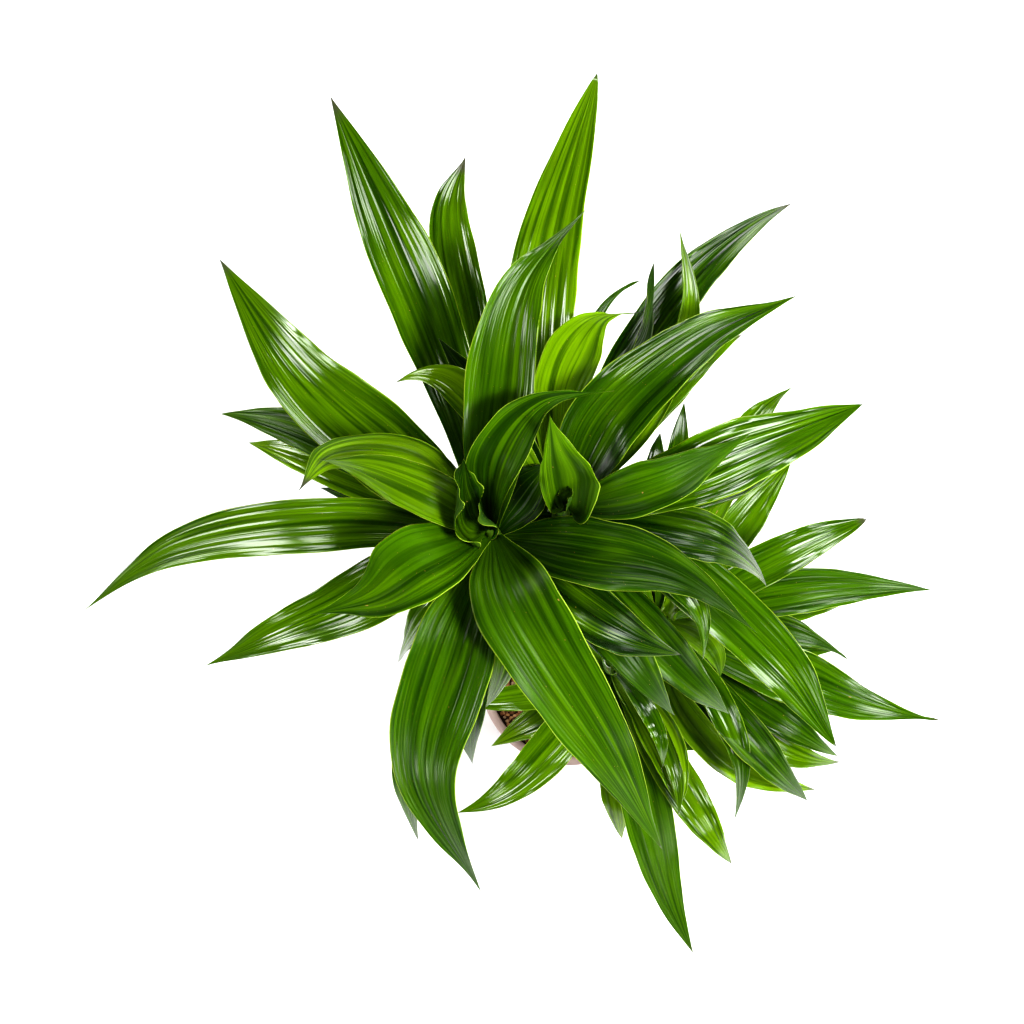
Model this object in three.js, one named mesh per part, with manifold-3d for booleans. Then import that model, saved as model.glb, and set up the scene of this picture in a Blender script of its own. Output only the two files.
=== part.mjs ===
// A potted cane plant with broad, glossy, arching leaves: a round tapered pot filled with
// coarse granules, a tall and a short woody cane, and two leafy heads on each cane.
// Millimetres, +Z up. The origin is the middle of the pot's underside.
import * as THREE from 'three';
import { mergeVertices } from 'three/addons/utils/BufferGeometryUtils.js';
import Module from 'manifold-3d';

const wasm = await Module();
wasm.setup();

// Driving dimensions
const POT_HEIGHT = 190;
const RIM_RADIUS = 105;
const RIM_WIDTH = 9;
const RIM_BAND = 22;
const RIM_STEP = 4.5;
const RIM_ROUNDING = 2;
const BASE_RADIUS = 78;
const WALL = 6;
const FOOT_BEVEL = 3;
const FILL_DEPTH_BELOW_RIM = 13;
const HEAP_RINGS = 5;
const HEAP_HEIGHT = 1.6;
const HEAP_PITCH = 6.5;
const LUMP_HEIGHT = 0.9;
const LUMP_PITCH = 4;
const CLEARANCE = 0.3;
const CANE_FOOT = 45;
const TALL_CANE = { foot: [-25, 45], top: [-50, 55], height: 788, footRadius: 19, topRadius: 17 };
const SHORT_CANE = { foot: [45, 0], top: [58, -4], height: 450, footRadius: 17, topRadius: 16 };
const FIRST_SCAR = 165;
const SCAR_SPACING = 40;
const SCAR_RISE = 3;
const SCAR_HEIGHT = 0.9;
const SAWN_EDGE = 1.5;
const SHOOT_RADIUS = 7;
const SHOOT_TAPER = [[0, 4], [0.12, 10], [0.5, 8], [0.8, 7], [1, 1.5]];
const BLADE_THICKNESS = 0.9;
const BROAD_LEAF = 46;
const ROOT_REACH = 3;

// Half the width of the thread that some leaves taper to
const THREAD_HALF_WIDTH = 1.6;

// Shares of a leaf's length or width, taken wherever a leaf gives none of its own
const WIDEST_AT = 0.42;
const TIP_POWER = 1.1;
const WAVES_PER_LEAF = 2.3;
const WAVE_SHARE = 0.045;
const RUFFLE_SHARE = 0.05;
const KEEL = 12;

// Shares of a leaf's length or width, the same for all leaves
const BASE_WIDTH_SHARE = 0.24;
const BASE_POWER = 1.25;
const TIP_WIDTH_SHARE = 0.02;
const CLASP_END = 0.22;
const LEAN_DONE = 0.3;
const ROLL_DONE = 0.35;
const SWING_START = 0.6;
const WAVE_FADE = 0.22;
const WAVE_EDGE_POWER = 3;
const PHASE_STEP = 0.618;
const PHASE_GAP = 0.37;
const FULLEST_CURL = 2.85;
const CLOSE_BY = 1e-4;

// Sides of the round pieces
const ROUND_SIDES = 36;
const CANE_SIDES = 12;
const SHOOT_SIDES = 10;

// Every leaf grows from the axis of its shoot at the height root. Its tip is a heading in
// degrees round that point, a reach and a height. Its bend is a point of its midrib: an angle
// from the tip's heading, a reach and a height. The crook is a second such point further out;
// without one the bend is halfway. Width is the blade's full width, widest the share of the
// length where it has it, point the power of its taper and lean the share that the left half
// gains on the right one. Curl is the radius that its cross-section curves to, and a rolled
// leaf opens to the radius tipCurl. Roll and twist turn the blade about its midrib, hook swings
// the tip sideways and droop lets it hang. Waves, wave and ruffle are the number of waves of
// the margins, their height and their depth. Keel is the angle of the fold along the midrib at
// the foot, and tail the share of the length drawn to a thread.
const UPPER_LEFT = {
  foot: [-68, 50, 745],
  crown: [-86.6, 37.9, 894],
  leaves: [
    {
      root: 862, tip: [-92, 285, 750], bend: [-14, 105, 900], crook: [-13, 200, 870], width: 70,
      curl: 95, twist: 10, droop: 10, widest: 0.38, point: 1.2,
    },
    {
      root: 870, tip: [-61, 285, 815], bend: [-11, 75, 915], crook: [-2, 190, 895], width: 70,
      curl: 110, droop: 10, widest: 0.33, point: 1.15,
    },
    {
      root: 848, tip: [-19, 230, 815], bend: [3, 75, 885], crook: [6, 150, 870], width: 60, curl: 80,
      droop: 22, widest: 0.33, point: 1.5,
    },
    {
      root: 880, tip: [-155, 165, 885], bend: [9, 60, 932], crook: [8, 110, 925], width: 64,
      curl: 65, widest: 0.38, point: 2.3,
    },
    {
      root: 848, tip: [-174, 380, 690], bend: [-7, 125, 890], crook: [-6, 270, 800], width: 46,
      curl: 110, twist: -35, droop: 20, widest: 0.4, point: 1.6,
    },
    {
      root: 838, tip: [-159, 270, 760], bend: [6, 95, 860], crook: [3, 185, 835], width: 54,
      curl: 65, widest: 0.36, point: 1.3, ruffle: 0.12,
    },
    {
      root: 886, tip: [158, 145, 905], bend: [-2, 45, 932], crook: [-2, 100, 928], width: 42,
      curl: 60, roll: -10, widest: 0.36, point: 1.7, keel: 20, waves: 1.5,
    },
    {
      root: 882, tip: [167, 160, 868], bend: [-30, 75, 918], crook: [-13, 135, 908], width: 40,
      curl: 45, roll: -25, twist: -80, droop: 8, widest: 0.45, point: 1.5, waves: 1.2,
    },
    { root: 850, tip: [133, 360, 790], bend: [11, 95, 872], crook: [7, 215, 862], width: 72, curl: 80 },
    {
      root: 842, tip: [110, 440, 800], bend: [-3, 135, 880], crook: [-1, 265, 870], width: 57,
      curl: 80, widest: 0.56,
    },
    {
      root: 820, tip: [95, 355, 800], bend: [3, 165, 848], crook: [4, 280, 840], width: 41, curl: 65,
      widest: 0.5, point: 1.2,
    },
    {
      root: 876, tip: [73, 285, 900], bend: [11, 80, 930], crook: [9, 185, 940], width: 64, curl: 40,
      widest: 0.38, point: 1.9, lean: 0.08,
    },
    {
      root: 892, tip: [46, 145, 930], bend: [32, 45, 955], crook: [18, 95, 960], width: 48, curl: 34,
      roll: 5, droop: 10, widest: 0.32, point: 2.6,
    },
    { root: 858, tip: [51, 70, 877], bend: [0, 40, 880], width: 46, curl: 50 },
    {
      root: 893, tip: [114, 40, 985], bend: [43, 15, 918], crook: [20, 25, 950], width: 58, curl: 14,
      tipCurl: 7, droop: 0, widest: 0.22, point: 1.3, wave: 0.1, ruffle: 0.12,
    },
    { root: 825, tip: [154, 270, 790], bend: [-4, 155, 840], width: 42, curl: 50 },
    { root: 815, tip: [156, 245, 760], bend: [0, 140, 820], width: 40, curl: 50 },
    { root: 805, tip: [159, 175, 740], bend: [2, 90, 800], width: 30, curl: 50 },
    { root: 828, tip: [-106, 255, 690], bend: [-7, 150, 830], width: 44, curl: 50, hook: 20, droop: 10 },
    { root: 815, tip: [-98, 180, 700], bend: [-4, 115, 800], width: 36, curl: 50 },
    { root: 808, tip: [-135, 130, 720], bend: [-2, 80, 800], width: 34, curl: 50, roll: 30 },
    { root: 806, tip: [-97, 130, 690], bend: [9, 80, 780], width: 34, curl: 28, droop: 10 },
    {
      root: 838, tip: [-30, 180, 785], bend: [-8, 90, 862], width: 56, curl: 45, hook: 10, droop: 8,
      lean: -0.3,
    },
    {
      root: 822, tip: [-42, 205, 730], bend: [-6, 115, 820], width: 45, curl: 45, hook: 8, droop: 8,
      lean: 0.5,
    },
  ],
};
const UPPER_RIGHT = {
  foot: [-30, 62, 735],
  crown: [-26, 58, 890],
  leaves: [
    {
      root: 850, tip: [85, 405, 830], bend: [15, 110, 885], crook: [7, 230, 880], width: 60,
      curl: 80, widest: 0.5, point: 0.8,
    },
    { root: 854, tip: [143, 170, 885], bend: [-12, 110, 902], width: 34, curl: 50, hook: 20 },
    { root: 850, tip: [126, 170, 897], bend: [0, 90, 890], width: 34, curl: 50 },
    { root: 805, tip: [128, 180, 760], bend: [5, 100, 800], width: 30, curl: 50 },
    {
      root: 886, tip: [105, 50, 990], bend: [98, 5, 922], crook: [17, 20, 958], width: 48, curl: 8,
      tipCurl: 150, droop: 0, widest: 0.48, point: 1.35, lean: -0.5, wave: 0.07, ruffle: 0.1,
    },
    {
      root: 890, tip: [11, 5, 950], bend: [-92, 5, 920], crook: [-37, 5, 938], width: 26, curl: 8,
      tipCurl: 9, droop: 0, wave: 0.1,
    },
    {
      root: 858, tip: [68, 185, 862], bend: [25, 95, 892], crook: [13, 150, 900], width: 50,
      curl: 60, widest: 0.45, point: 3.2, lean: -0.2, tail: 0.3, ruffle: 0.08,
    },
    {
      root: 846, tip: [71, 220, 838], bend: [11, 130, 872], width: 13, curl: 40, roll: 20, twist: 40,
      hook: -15, tail: 0.2,
    },
    { root: 825, tip: [55, 375, 765], bend: [9, 205, 822], width: 45, curl: 50, point: 1.0, lean: -0.12 },
    {
      root: 872, tip: [44, 285, 830], bend: [17, 80, 912], crook: [7, 180, 890], width: 62, curl: 80,
      widest: 0.26, point: 1.2,
    },
    { root: 806, tip: [48, 255, 742], bend: [5, 140, 800], width: 42, curl: 50 },
    {
      root: 832, tip: [68, 290, 800], bend: [-20, 105, 860], crook: [-10, 205, 850], width: 27,
      curl: 14, roll: 10, point: 1.2,
    },
    {
      root: 838, tip: [70, 240, 835], bend: [1, 115, 880], crook: [-4, 165, 870], width: 38,
      curl: 30, roll: 110, twist: -90,
    },
    {
      root: 845, tip: [23, 290, 785], bend: [-11, 90, 890], crook: [-4, 180, 860], width: 59,
      curl: 95, widest: 0.5, point: 1.0,
    },
    {
      root: 882, tip: [23, 170, 875], bend: [-18, 60, 925], crook: [-8, 110, 915], width: 43,
      curl: 65, widest: 0.34, point: 1.6,
    },
    { root: 825, tip: [18, 210, 760], bend: [-5, 120, 830], width: 44, curl: 50 },
    { root: 848, tip: [-12, 190, 730], bend: [3, 105, 856], width: 46, curl: 65, hook: -12, droop: 40 },
    {
      root: 818, tip: [-36, 305, 708], bend: [16, 95, 812], crook: [5, 215, 780], width: 55,
      curl: 80, droop: 10, widest: 0.5, point: 0.9,
    },
    { root: 806, tip: [-44, 215, 695], bend: [-3, 130, 786], width: 45, curl: 50, droop: 8, lean: -0.3 },
    { root: 838, tip: [-165, 40, 838], bend: [-5, 15, 846], width: 44, curl: 60 },
    { root: 828, tip: [-43, 165, 792], bend: [14, 105, 843], width: 28, curl: 28, hook: -10, droop: 8 },
  ],
};
const LOWER_RIGHT = {
  foot: [74, 8, 420],
  crown: [87, 21, 545],
  leaves: [
    { root: 510, tip: [8, 290, 480], bend: [4, 140, 540], width: 48, curl: 80, point: 1.25 },
    { root: 520, tip: [27, 240, 510], bend: [1, 120, 550], width: 44, curl: 80, point: 0.75 },
    {
      root: 505, tip: [-17, 310, 450], bend: [-6, 155, 532], width: 60, curl: 80, hook: 15,
      point: 1.8, tail: 0.12,
    },
    {
      root: 498, tip: [-8, 205, 455], bend: [6, 105, 518], width: 40, curl: 50, hook: -12,
      point: 1.5, tail: 0.15,
    },
    { root: 492, tip: [-5, 190, 450], bend: [-5, 105, 500], width: 34, curl: 50 },
    { root: 480, tip: [10, 210, 440], bend: [0, 130, 490], width: 36, curl: 50 },
    { root: 490, tip: [-33, 230, 430], bend: [-5, 130, 505], width: 40, curl: 50 },
    { root: 475, tip: [-32, 240, 400], bend: [-13, 140, 480], width: 42, curl: 50, hook: 12 },
    { root: 498, tip: [-47, 235, 420], bend: [-4, 135, 522], width: 46, curl: 50, lean: -0.3 },
    { root: 468, tip: [-40, 240, 360], bend: [-14, 130, 450], width: 48, curl: 65 },
    { root: 512, tip: [-68, 210, 435], bend: [10, 110, 540], width: 32, curl: 28, hook: -22, droop: 20 },
    { root: 500, tip: [82, 250, 470], bend: [1, 140, 510], width: 34, curl: 28 },
    { root: 490, tip: [87, 220, 450], bend: [3, 135, 490], width: 34, curl: 28 },
    {
      root: 505, tip: [60, 300, 490], bend: [5, 160, 545], crook: [4, 240, 530], width: 38, curl: 40,
      point: 1.8,
    },
    { root: 495, tip: [51, 235, 470], bend: [0, 130, 510], width: 44, curl: 80 },
    { root: 525, tip: [-50, 80, 560], bend: [11, 45, 590], width: 30, curl: 16, roll: 20 },
    { root: 488, tip: [117, 165, 450], bend: [3, 90, 515], width: 44, curl: 65 },
    { root: 470, tip: [102, 190, 415], bend: [-4, 95, 480], width: 44, curl: 65 },
    { root: 482, tip: [141, 150, 430], bend: [-2, 80, 500], width: 44, curl: 65 },
    { root: 540, tip: [79, 15, 620], bend: [1, 10, 585], width: 40, curl: 8, tipCurl: 12, droop: 0 },
  ],
};
const LOWER_LEFT = {
  foot: [41, -17, 380],
  crown: [36, -22, 480],
  leaves: [
    { root: 418, tip: [-73, 310, 325], bend: [-4, 160, 424], width: 54, curl: 80, hook: 15 },
    { root: 410, tip: [-85, 175, 310], bend: [-3, 110, 390], width: 40, curl: 50 },
    { root: 445, tip: [-138, 220, 410], bend: [10, 115, 470], width: 48, curl: 65, hook: -20 },
    { root: 430, tip: [-149, 150, 390], bend: [3, 80, 440], width: 40, curl: 40 },
    { root: 415, tip: [-149, 135, 360], bend: [9, 70, 415], width: 34, curl: 40 },
    { root: 438, tip: [-170, 180, 420], bend: [9, 90, 460], width: 32, curl: 65 },
    { root: 426, tip: [-57, 240, 360], bend: [-3, 145, 434], width: 44, curl: 65 },
    { root: 450, tip: [-65, 160, 444], bend: [3, 95, 474], width: 44, curl: 40, lean: 0.4 },
    { root: 460, tip: [-66, 165, 445], bend: [9, 95, 490], width: 24, curl: 12, roll: 20 },
    { root: 470, tip: [-65, 115, 485], bend: [6, 70, 530], width: 20, curl: 20 },
    { root: 405, tip: [-29, 160, 335], bend: [-20, 70, 410], width: 46, curl: 65 },
    { root: 450, tip: [153, 120, 430], bend: [1, 60, 480], width: 42, curl: 65 },
    { root: 474, tip: [156, 15, 550], bend: [36, 10, 520], width: 34, curl: 7, tipCurl: 10, droop: 0 },
  ],
};

// A closed body through rings of points that run anticlockwise about the way the rings go.
// Points i and n - 1 - i face each other across a blade, and both faces of it are split alike.
function loft(rings) {
  const count = rings[0].length;
  const half = count / 2;
  const faces = [];
  for (let k = 0; k + 1 < rings.length; k += 1) {
    for (let j = 0; j < count; j += 1) {
      const next = (j + 1) % count;
      const a = k * count + j;
      const b = k * count + next;
      const c = a + count;
      const d = b + count;
      if (j < half) faces.push(a, b, d, a, d, c);
      else faces.push(a, b, c, b, d, c);
    }
  }
  const last = (rings.length - 1) * count;
  for (let i = 0; i + 1 < half; i += 1) {
    const far = count - 1 - i;
    faces.push(i, far - 1, i + 1, i, far, far - 1);
    faces.push(last + i, last + i + 1, last + far - 1, last + i, last + far - 1, last + far);
  }
  const geometry = new THREE.BufferGeometry().setFromPoints(rings.flat());
  geometry.setIndex(faces);
  return geometry;
}

function solidFrom(geometry) {
  const bare = geometry.clone();
  bare.deleteAttribute('normal');
  bare.deleteAttribute('uv');
  const merged = mergeVertices(bare, 1e-3);
  const corners = merged.index.array;
  const kept = [];
  for (let i = 0; i < corners.length; i += 3) {
    const [a, b, c] = [corners[i], corners[i + 1], corners[i + 2]];
    if (a !== b && b !== c && c !== a) kept.push(a, b, c);
  }
  return new wasm.Manifold(new wasm.Mesh({
    numProp: 3,
    vertProperties: merged.attributes.position.array,
    triVerts: new Uint32Array(kept),
  }));
}

// The largest body of a join or cut, with loose scraps dropped and sealed hollows filled
function geometryFrom(solid) {
  const bodies = solid.decompose();
  const largest = bodies.reduce((best, body) => (body.volume() > best.volume() ? body : best));
  const { vertProperties, triVerts, numProp } = largest.getMesh();
  const positions = new Float32Array(vertProperties.length / numProp * 3);
  for (let i = 0; i < positions.length / 3; i += 1) {
    positions.set(vertProperties.subarray(i * numProp, i * numProp + 3), i * 3);
  }
  const geometry = new THREE.BufferGeometry();
  geometry.setAttribute('position', new THREE.BufferAttribute(positions, 3));
  geometry.setIndex(new THREE.BufferAttribute(new Uint32Array(triVerts), 1));
  return geometry;
}

// A round ring about centre, square to the direction along
function roundRing(centre, along, radius, sides) {
  const right = new THREE.Vector3(0, 1, 0).cross(along).normalize();
  const forward = along.clone().cross(right).normalize();
  const ring = [];
  for (let i = 0; i < sides; i += 1) {
    const angle = i / sides * Math.PI * 2;
    ring.push(centre.clone()
      .addScaledVector(right, radius * Math.cos(angle))
      .addScaledVector(forward, radius * Math.sin(angle)));
  }
  return ring;
}

// Pot: one thick-walled cone with a band round its rim and a flat underside
function potGeometry() {
  const bandFoot = POT_HEIGHT - RIM_BAND;
  const neckRadius = RIM_RADIUS - RIM_STEP;
  const edge = RIM_ROUNDING;
  const profile = [
    [0, 0],
    [BASE_RADIUS - FOOT_BEVEL, 0],
    [BASE_RADIUS, FOOT_BEVEL],
    [neckRadius, bandFoot],
    [RIM_RADIUS - 1, bandFoot + edge],
    [RIM_RADIUS, POT_HEIGHT - 2 * edge],
    [RIM_RADIUS - edge, POT_HEIGHT - edge / 2],
    [RIM_RADIUS - RIM_WIDTH / 2, POT_HEIGHT],
    [RIM_RADIUS - RIM_WIDTH + edge, POT_HEIGHT - edge / 2],
    [innerRadius(POT_HEIGHT - 2 * edge), POT_HEIGHT - 2 * edge],
    [innerRadius(WALL), WALL],
    [0, WALL],
  ];
  const geometry = new THREE.LatheGeometry(profile.map(([r, z]) => new THREE.Vector2(r, z)), ROUND_SIDES);
  return geometry.rotateX(Math.PI / 2);
}

// Inside radius of the pot at a height above its underside
function innerRadius(z) {
  const topInside = RIM_RADIUS - RIM_WIDTH;
  const floorInside = BASE_RADIUS - WALL;
  return floorInside + (topInside - floorInside) * (z - WALL) / (POT_HEIGHT - WALL);
}

// Substrate: coarse granules taken as one body, with an uneven top and a hole for each cane
function substrateGeometry(canes) {
  const top = POT_HEIGHT - FILL_DEPTH_BELOW_RIM;
  const floor = WALL + CLEARANCE;
  const rim = innerRadius(top) - CLEARANCE;
  const profile = [[0, floor], [innerRadius(floor) - CLEARANCE, floor]];
  for (let ring = HEAP_RINGS; ring >= 0; ring -= 1) profile.push([rim * ring / HEAP_RINGS, top]);
  const geometry = new THREE.LatheGeometry(profile.map(([r, z]) => new THREE.Vector2(r, z)), ROUND_SIDES);
  geometry.rotateX(Math.PI / 2);
  const place = geometry.attributes.position;
  for (let i = 0; i < place.count; i += 1) {
    const [x, y, z] = [place.getX(i), place.getY(i), place.getZ(i)];
    const onTop = z > floor + 1 && Math.hypot(x, y) < rim - 1;
    const heap = HEAP_HEIGHT * Math.sin(x / HEAP_PITCH) * Math.cos(y / HEAP_PITCH);
    const lump = LUMP_HEIGHT * Math.sin((x - y) / LUMP_PITCH);
    if (onTop) place.setZ(i, z + heap + lump);
  }
  return geometryFrom(canes.reduce(
    (soil, cane) => soil.subtract(caneSolid(cane, CLEARANCE)),
    solidFrom(geometry),
  ));
}

// Cane: a straight, slightly leaning bare stem, sawn off flat, ringed by old leaf scars
function caneSolid(cane, grown = 0) {
  const foot = new THREE.Vector3(...cane.foot, CANE_FOOT - grown);
  const top = new THREE.Vector3(...cane.top, cane.height + grown);
  const along = top.clone().sub(foot);
  const length = along.length();
  const direction = along.clone().normalize();
  const rings = [];
  const addRing = (distance, raise) => {
    const share = distance / length;
    const radius = cane.footRadius + (cane.topRadius - cane.footRadius) * share + raise + grown;
    rings.push(roundRing(foot.clone().addScaledVector(direction, distance), direction, radius, CANE_SIDES));
  };
  addRing(0, 0);
  for (let distance = FIRST_SCAR; distance < length - SCAR_RISE * 3; distance += SCAR_SPACING) {
    addRing(distance, 0);
    addRing(distance + SCAR_RISE, SCAR_HEIGHT);
  }
  addRing(length - SAWN_EDGE, 0);
  addRing(length, -SAWN_EDGE);
  return solidFrom(loft(rings));
}

const smooth = (x) => THREE.MathUtils.smoothstep(x, 0, 1);
const radians = THREE.MathUtils.degToRad;

// Half the blade's width as a share of its greatest half width, from the base to the tip
function outline(t, widest, point) {
  if (t < widest) {
    const rise = Math.sin(Math.PI / 2 * t / widest) ** BASE_POWER;
    return BASE_WIDTH_SHARE + (1 - BASE_WIDTH_SHARE) * rise;
  }
  return Math.max(Math.cos(Math.PI / 2 * (t - widest) / (1 - widest)), 0) ** point;
}

// The point of a shoot's axis at a height
function onShoot(shoot, z) {
  const foot = new THREE.Vector3(...shoot.foot);
  const crown = new THREE.Vector3(...shoot.crown);
  return foot.lerp(crown, (z - shoot.foot[2]) / (shoot.crown[2] - shoot.foot[2]));
}

// The closed rings of one leaf. The midrib is a smooth curve through the root, the bend, any
// crook and the tip whose last part swings by hook and droop. Each cross-section is an arc of
// the radius curl about it.
function leafRings(shoot, leaf, order) {
  const { roll = 0, twist = 0, hook = 0, droop = 5, tipCurl = leaf.curl, lean = 0, tail = 0 } = leaf;
  const { widest = WIDEST_AT, point = TIP_POWER, keel = KEEL } = leaf;
  const { waves = WAVES_PER_LEAF, wave = WAVE_SHARE, ruffle = RUFFLE_SHARE } = leaf;
  const axisPoint = onShoot(shoot, leaf.root);
  const heading = radians(leaf.tip[0]);
  const side = new THREE.Vector3(-Math.sin(heading), Math.cos(heading), 0);
  const away = (angle, reach, z) => new THREE.Vector3(
    axisPoint.x + reach * Math.cos(angle),
    axisPoint.y + reach * Math.sin(angle),
    z,
  );
  const root = away(heading, isRolled(leaf) ? 0 : ROOT_REACH, leaf.root);
  const tip = away(heading, leaf.tip[1], leaf.tip[2]);
  const along = ([angle, reach, z]) => away(heading + radians(angle), reach, z);
  const bend = along(leaf.bend);
  const swing = side.clone().multiplyScalar(hook).setZ(-droop);
  const end = tip.clone().sub(swing);
  const pull = bend.clone().multiplyScalar(2).addScaledVector(root, -0.5).addScaledVector(end, -0.5);
  const midrib = leaf.crook
    ? new THREE.CatmullRomCurve3([root, bend, along(leaf.crook), end], false, 'catmullrom')
    : new THREE.QuadraticBezierCurve3(root, pull, end);
  const { columns, steps } = fineness(leaf);
  const phases = [order * PHASE_STEP % 1, (order * PHASE_STEP + PHASE_GAP) % 1];
  const rings = [];
  for (let k = 0; k <= steps; k += 1) {
    const t = k / steps;
    const late = Math.max((t - SWING_START) / (1 - SWING_START), 0);
    const centre = midrib.getPoint(t).addScaledVector(swing, late ** 2);
    const forward = speedAlong(midrib, t)
      .addScaledVector(swing, 2 * late / (1 - SWING_START))
      .normalize();
    const flatSide = side.clone().addScaledVector(forward, -side.dot(forward)).normalize();
    const flatUp = forward.clone().cross(flatSide);
    const turn = radians(roll * smooth(t / ROLL_DONE) + twist * t * t);
    const left = flatSide.clone().multiplyScalar(Math.cos(turn)).addScaledVector(flatUp, Math.sin(turn));
    const up = flatUp.multiplyScalar(Math.cos(turn)).addScaledVector(flatSide, -Math.sin(turn));
    const halfWidth = leaf.width / 2 * outline(t, widest, point);
    const thread = Math.max(
      leaf.width / 2 * TIP_WIDTH_SHARE,
      tail > 0 ? THREAD_HALF_WIDTH * smooth(3 * (1 - t) / tail) : 0,
    );
    const openCurl = leaf.curl + (tipCurl - leaf.curl) * t * t;
    const radius = SHOOT_RADIUS + (openCurl - SHOOT_RADIUS) * smooth(t / CLASP_END);
    const fade = smooth(t / WAVE_FADE) * smooth((1 - t) / WAVE_FADE);
    const crease = radians(keel) * (1 - t) * smooth(t / CLASP_END);
    const upper = [];
    const lower = [];
    for (let j = 0; j < columns; j += 1) {
      const v = 1 - 2 * j / (columns - 1);
      const phase = v > 0 ? phases[0] : phases[1];
      const swell = Math.sin(2 * Math.PI * (waves * t + phase)) * fade;
      const side = 1 + lean * Math.sign(v) * smooth(t / LEAN_DONE);
      const reach = Math.max(halfWidth * side * (1 + ruffle * swell), thread);
      const angle = THREE.MathUtils.clamp(reach * v / radius, -FULLEST_CURL, FULLEST_CURL);
      const lift = wave * leaf.width * Math.abs(v) ** WAVE_EDGE_POWER * swell;
      const tilt = crease + Math.abs(angle);
      const across = radius * (Math.sin(tilt) - Math.sin(crease));
      const rise = radius * (Math.cos(crease) - Math.cos(tilt));
      const place = (offset) => centre.clone()
        .addScaledVector(left, Math.sign(v) * (across - (lift + offset) * Math.sin(tilt)))
        .addScaledVector(up, rise + (lift + offset) * Math.cos(tilt));
      upper.push(place(BLADE_THICKNESS / 2));
      lower.unshift(place(-BLADE_THICKNESS / 2));
    }
    rings.push([...upper, ...lower]);
  }
  return rings;
}

// The curve's direction at t with its length, as the points close by give it
function speedAlong(curve, t) {
  const before = Math.max(t - CLOSE_BY, 0);
  const after = Math.min(t + CLOSE_BY, 1);
  return curve.getPoint(after).sub(curve.getPoint(before)).divideScalar(after - before);
}

// A young leaf is still rolled round the shoot's axis
function isRolled(leaf) {
  return leaf.width > 3 * leaf.curl;
}

// How many points a leaf has across and how many steps along
function fineness(leaf) {
  if (isRolled(leaf)) return { columns: 7, steps: 7 };
  if (leaf.width >= BROAD_LEAF) return { columns: 5, steps: 9 };
  return { columns: 3, steps: 7 };
}

// The green shoot that a head's leaves clasp, from a pointed foot beside the cane to its crown
function shootSolid(shoot) {
  const foot = onShoot(shoot, shoot.foot[2]);
  const crown = onShoot(shoot, shoot.crown[2]);
  const direction = crown.clone().sub(foot).normalize();
  const length = crown.distanceTo(foot);
  return solidFrom(loft(SHOOT_TAPER.map(([share, radius]) => roundRing(
    foot.clone().addScaledVector(direction, share * length),
    direction,
    radius,
    SHOOT_SIDES,
  ))));
}

// Leafy head: the shoot with all its leaves, grown as one body, cut clear of the cane it hugs
function headGeometry(head, cane) {
  const leaves = head.leaves.map((leaf, order) => solidFrom(loft(leafRings(head, leaf, order))));
  const grown = leaves.reduce((body, leaf) => body.add(leaf), shootSolid(head));
  return geometryFrom(grown.subtract(caneSolid(cane, CLEARANCE)));
}

function piece(name, geometry, color, roughness) {
  const material = new THREE.MeshStandardMaterial({ color, roughness, metalness: 0 });
  const mesh = new THREE.Mesh(geometry, material);
  mesh.name = name;
  return mesh;
}

const group = new THREE.Group();
group.add(
  piece('pot', potGeometry(), 0xd9c0b8, 0.7),
  piece('substrate', substrateGeometry([TALL_CANE, SHORT_CANE]), 0x8a5a34, 0.95),
  piece('cane_tall', geometryFrom(caneSolid(TALL_CANE)), 0x9b8563, 0.85),
  piece('cane_short', geometryFrom(caneSolid(SHORT_CANE)), 0x9b8563, 0.85),
  piece('head_upper_left', headGeometry(UPPER_LEFT, TALL_CANE), 0x3f7a08, 0.35),
  piece('head_upper_right', headGeometry(UPPER_RIGHT, TALL_CANE), 0x4a8a0c, 0.35),
  piece('head_lower_right', headGeometry(LOWER_RIGHT, SHORT_CANE), 0x3a7208, 0.35),
  piece('head_lower_left', headGeometry(LOWER_LEFT, SHORT_CANE), 0x346a0a, 0.35),
);

export default group;
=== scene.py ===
"""A potted cane plant with broad, glossy, arching leaves, seen from almost straight above."""

from math import cos, pi, radians, sin

import bpy
import numpy as np
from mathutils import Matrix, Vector


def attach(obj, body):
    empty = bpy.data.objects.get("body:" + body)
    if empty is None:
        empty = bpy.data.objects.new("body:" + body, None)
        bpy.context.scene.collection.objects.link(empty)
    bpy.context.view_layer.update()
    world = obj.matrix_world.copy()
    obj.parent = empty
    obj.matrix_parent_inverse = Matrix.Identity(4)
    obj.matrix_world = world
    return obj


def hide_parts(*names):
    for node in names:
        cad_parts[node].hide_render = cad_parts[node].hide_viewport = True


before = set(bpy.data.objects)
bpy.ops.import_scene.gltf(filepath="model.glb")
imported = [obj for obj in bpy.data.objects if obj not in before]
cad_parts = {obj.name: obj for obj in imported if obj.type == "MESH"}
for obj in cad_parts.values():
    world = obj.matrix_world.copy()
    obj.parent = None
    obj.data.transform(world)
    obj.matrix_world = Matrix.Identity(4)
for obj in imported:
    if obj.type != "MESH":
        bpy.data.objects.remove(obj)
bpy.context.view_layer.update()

# Studio: a plain white floor in a pale room. Soft panels of light stand low all round, so glossy
# leaves shine where they slope away, and one stronger light hangs high at the front right. The camera
# looks almost straight down, from a little to the left of the pot. Sizes here are in metres.
LOOK_DOWN = 78
PICTURE_WIDTH = 1024
FOCAL_LENGTH_IN_PIXELS = 1667
SENSOR_WIDTH = 36
CAMERA_PLACE = (-0.067, -0.22215, 2.18746)
LEAVES_MIDDLE = Vector((0.0, 0.05, 0.7))
FLOOR_HALF = 6.0
FLOOR_DROP = 0.0002
FLOOR_WHITE = (0.92, 0.92, 0.92, 1)
FARTHEST_SEEN = 30
ROOM_STRENGTH = 0.15
ROOM_OVERHEAD = (0.12, 0.12, 0.12, 1)
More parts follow.
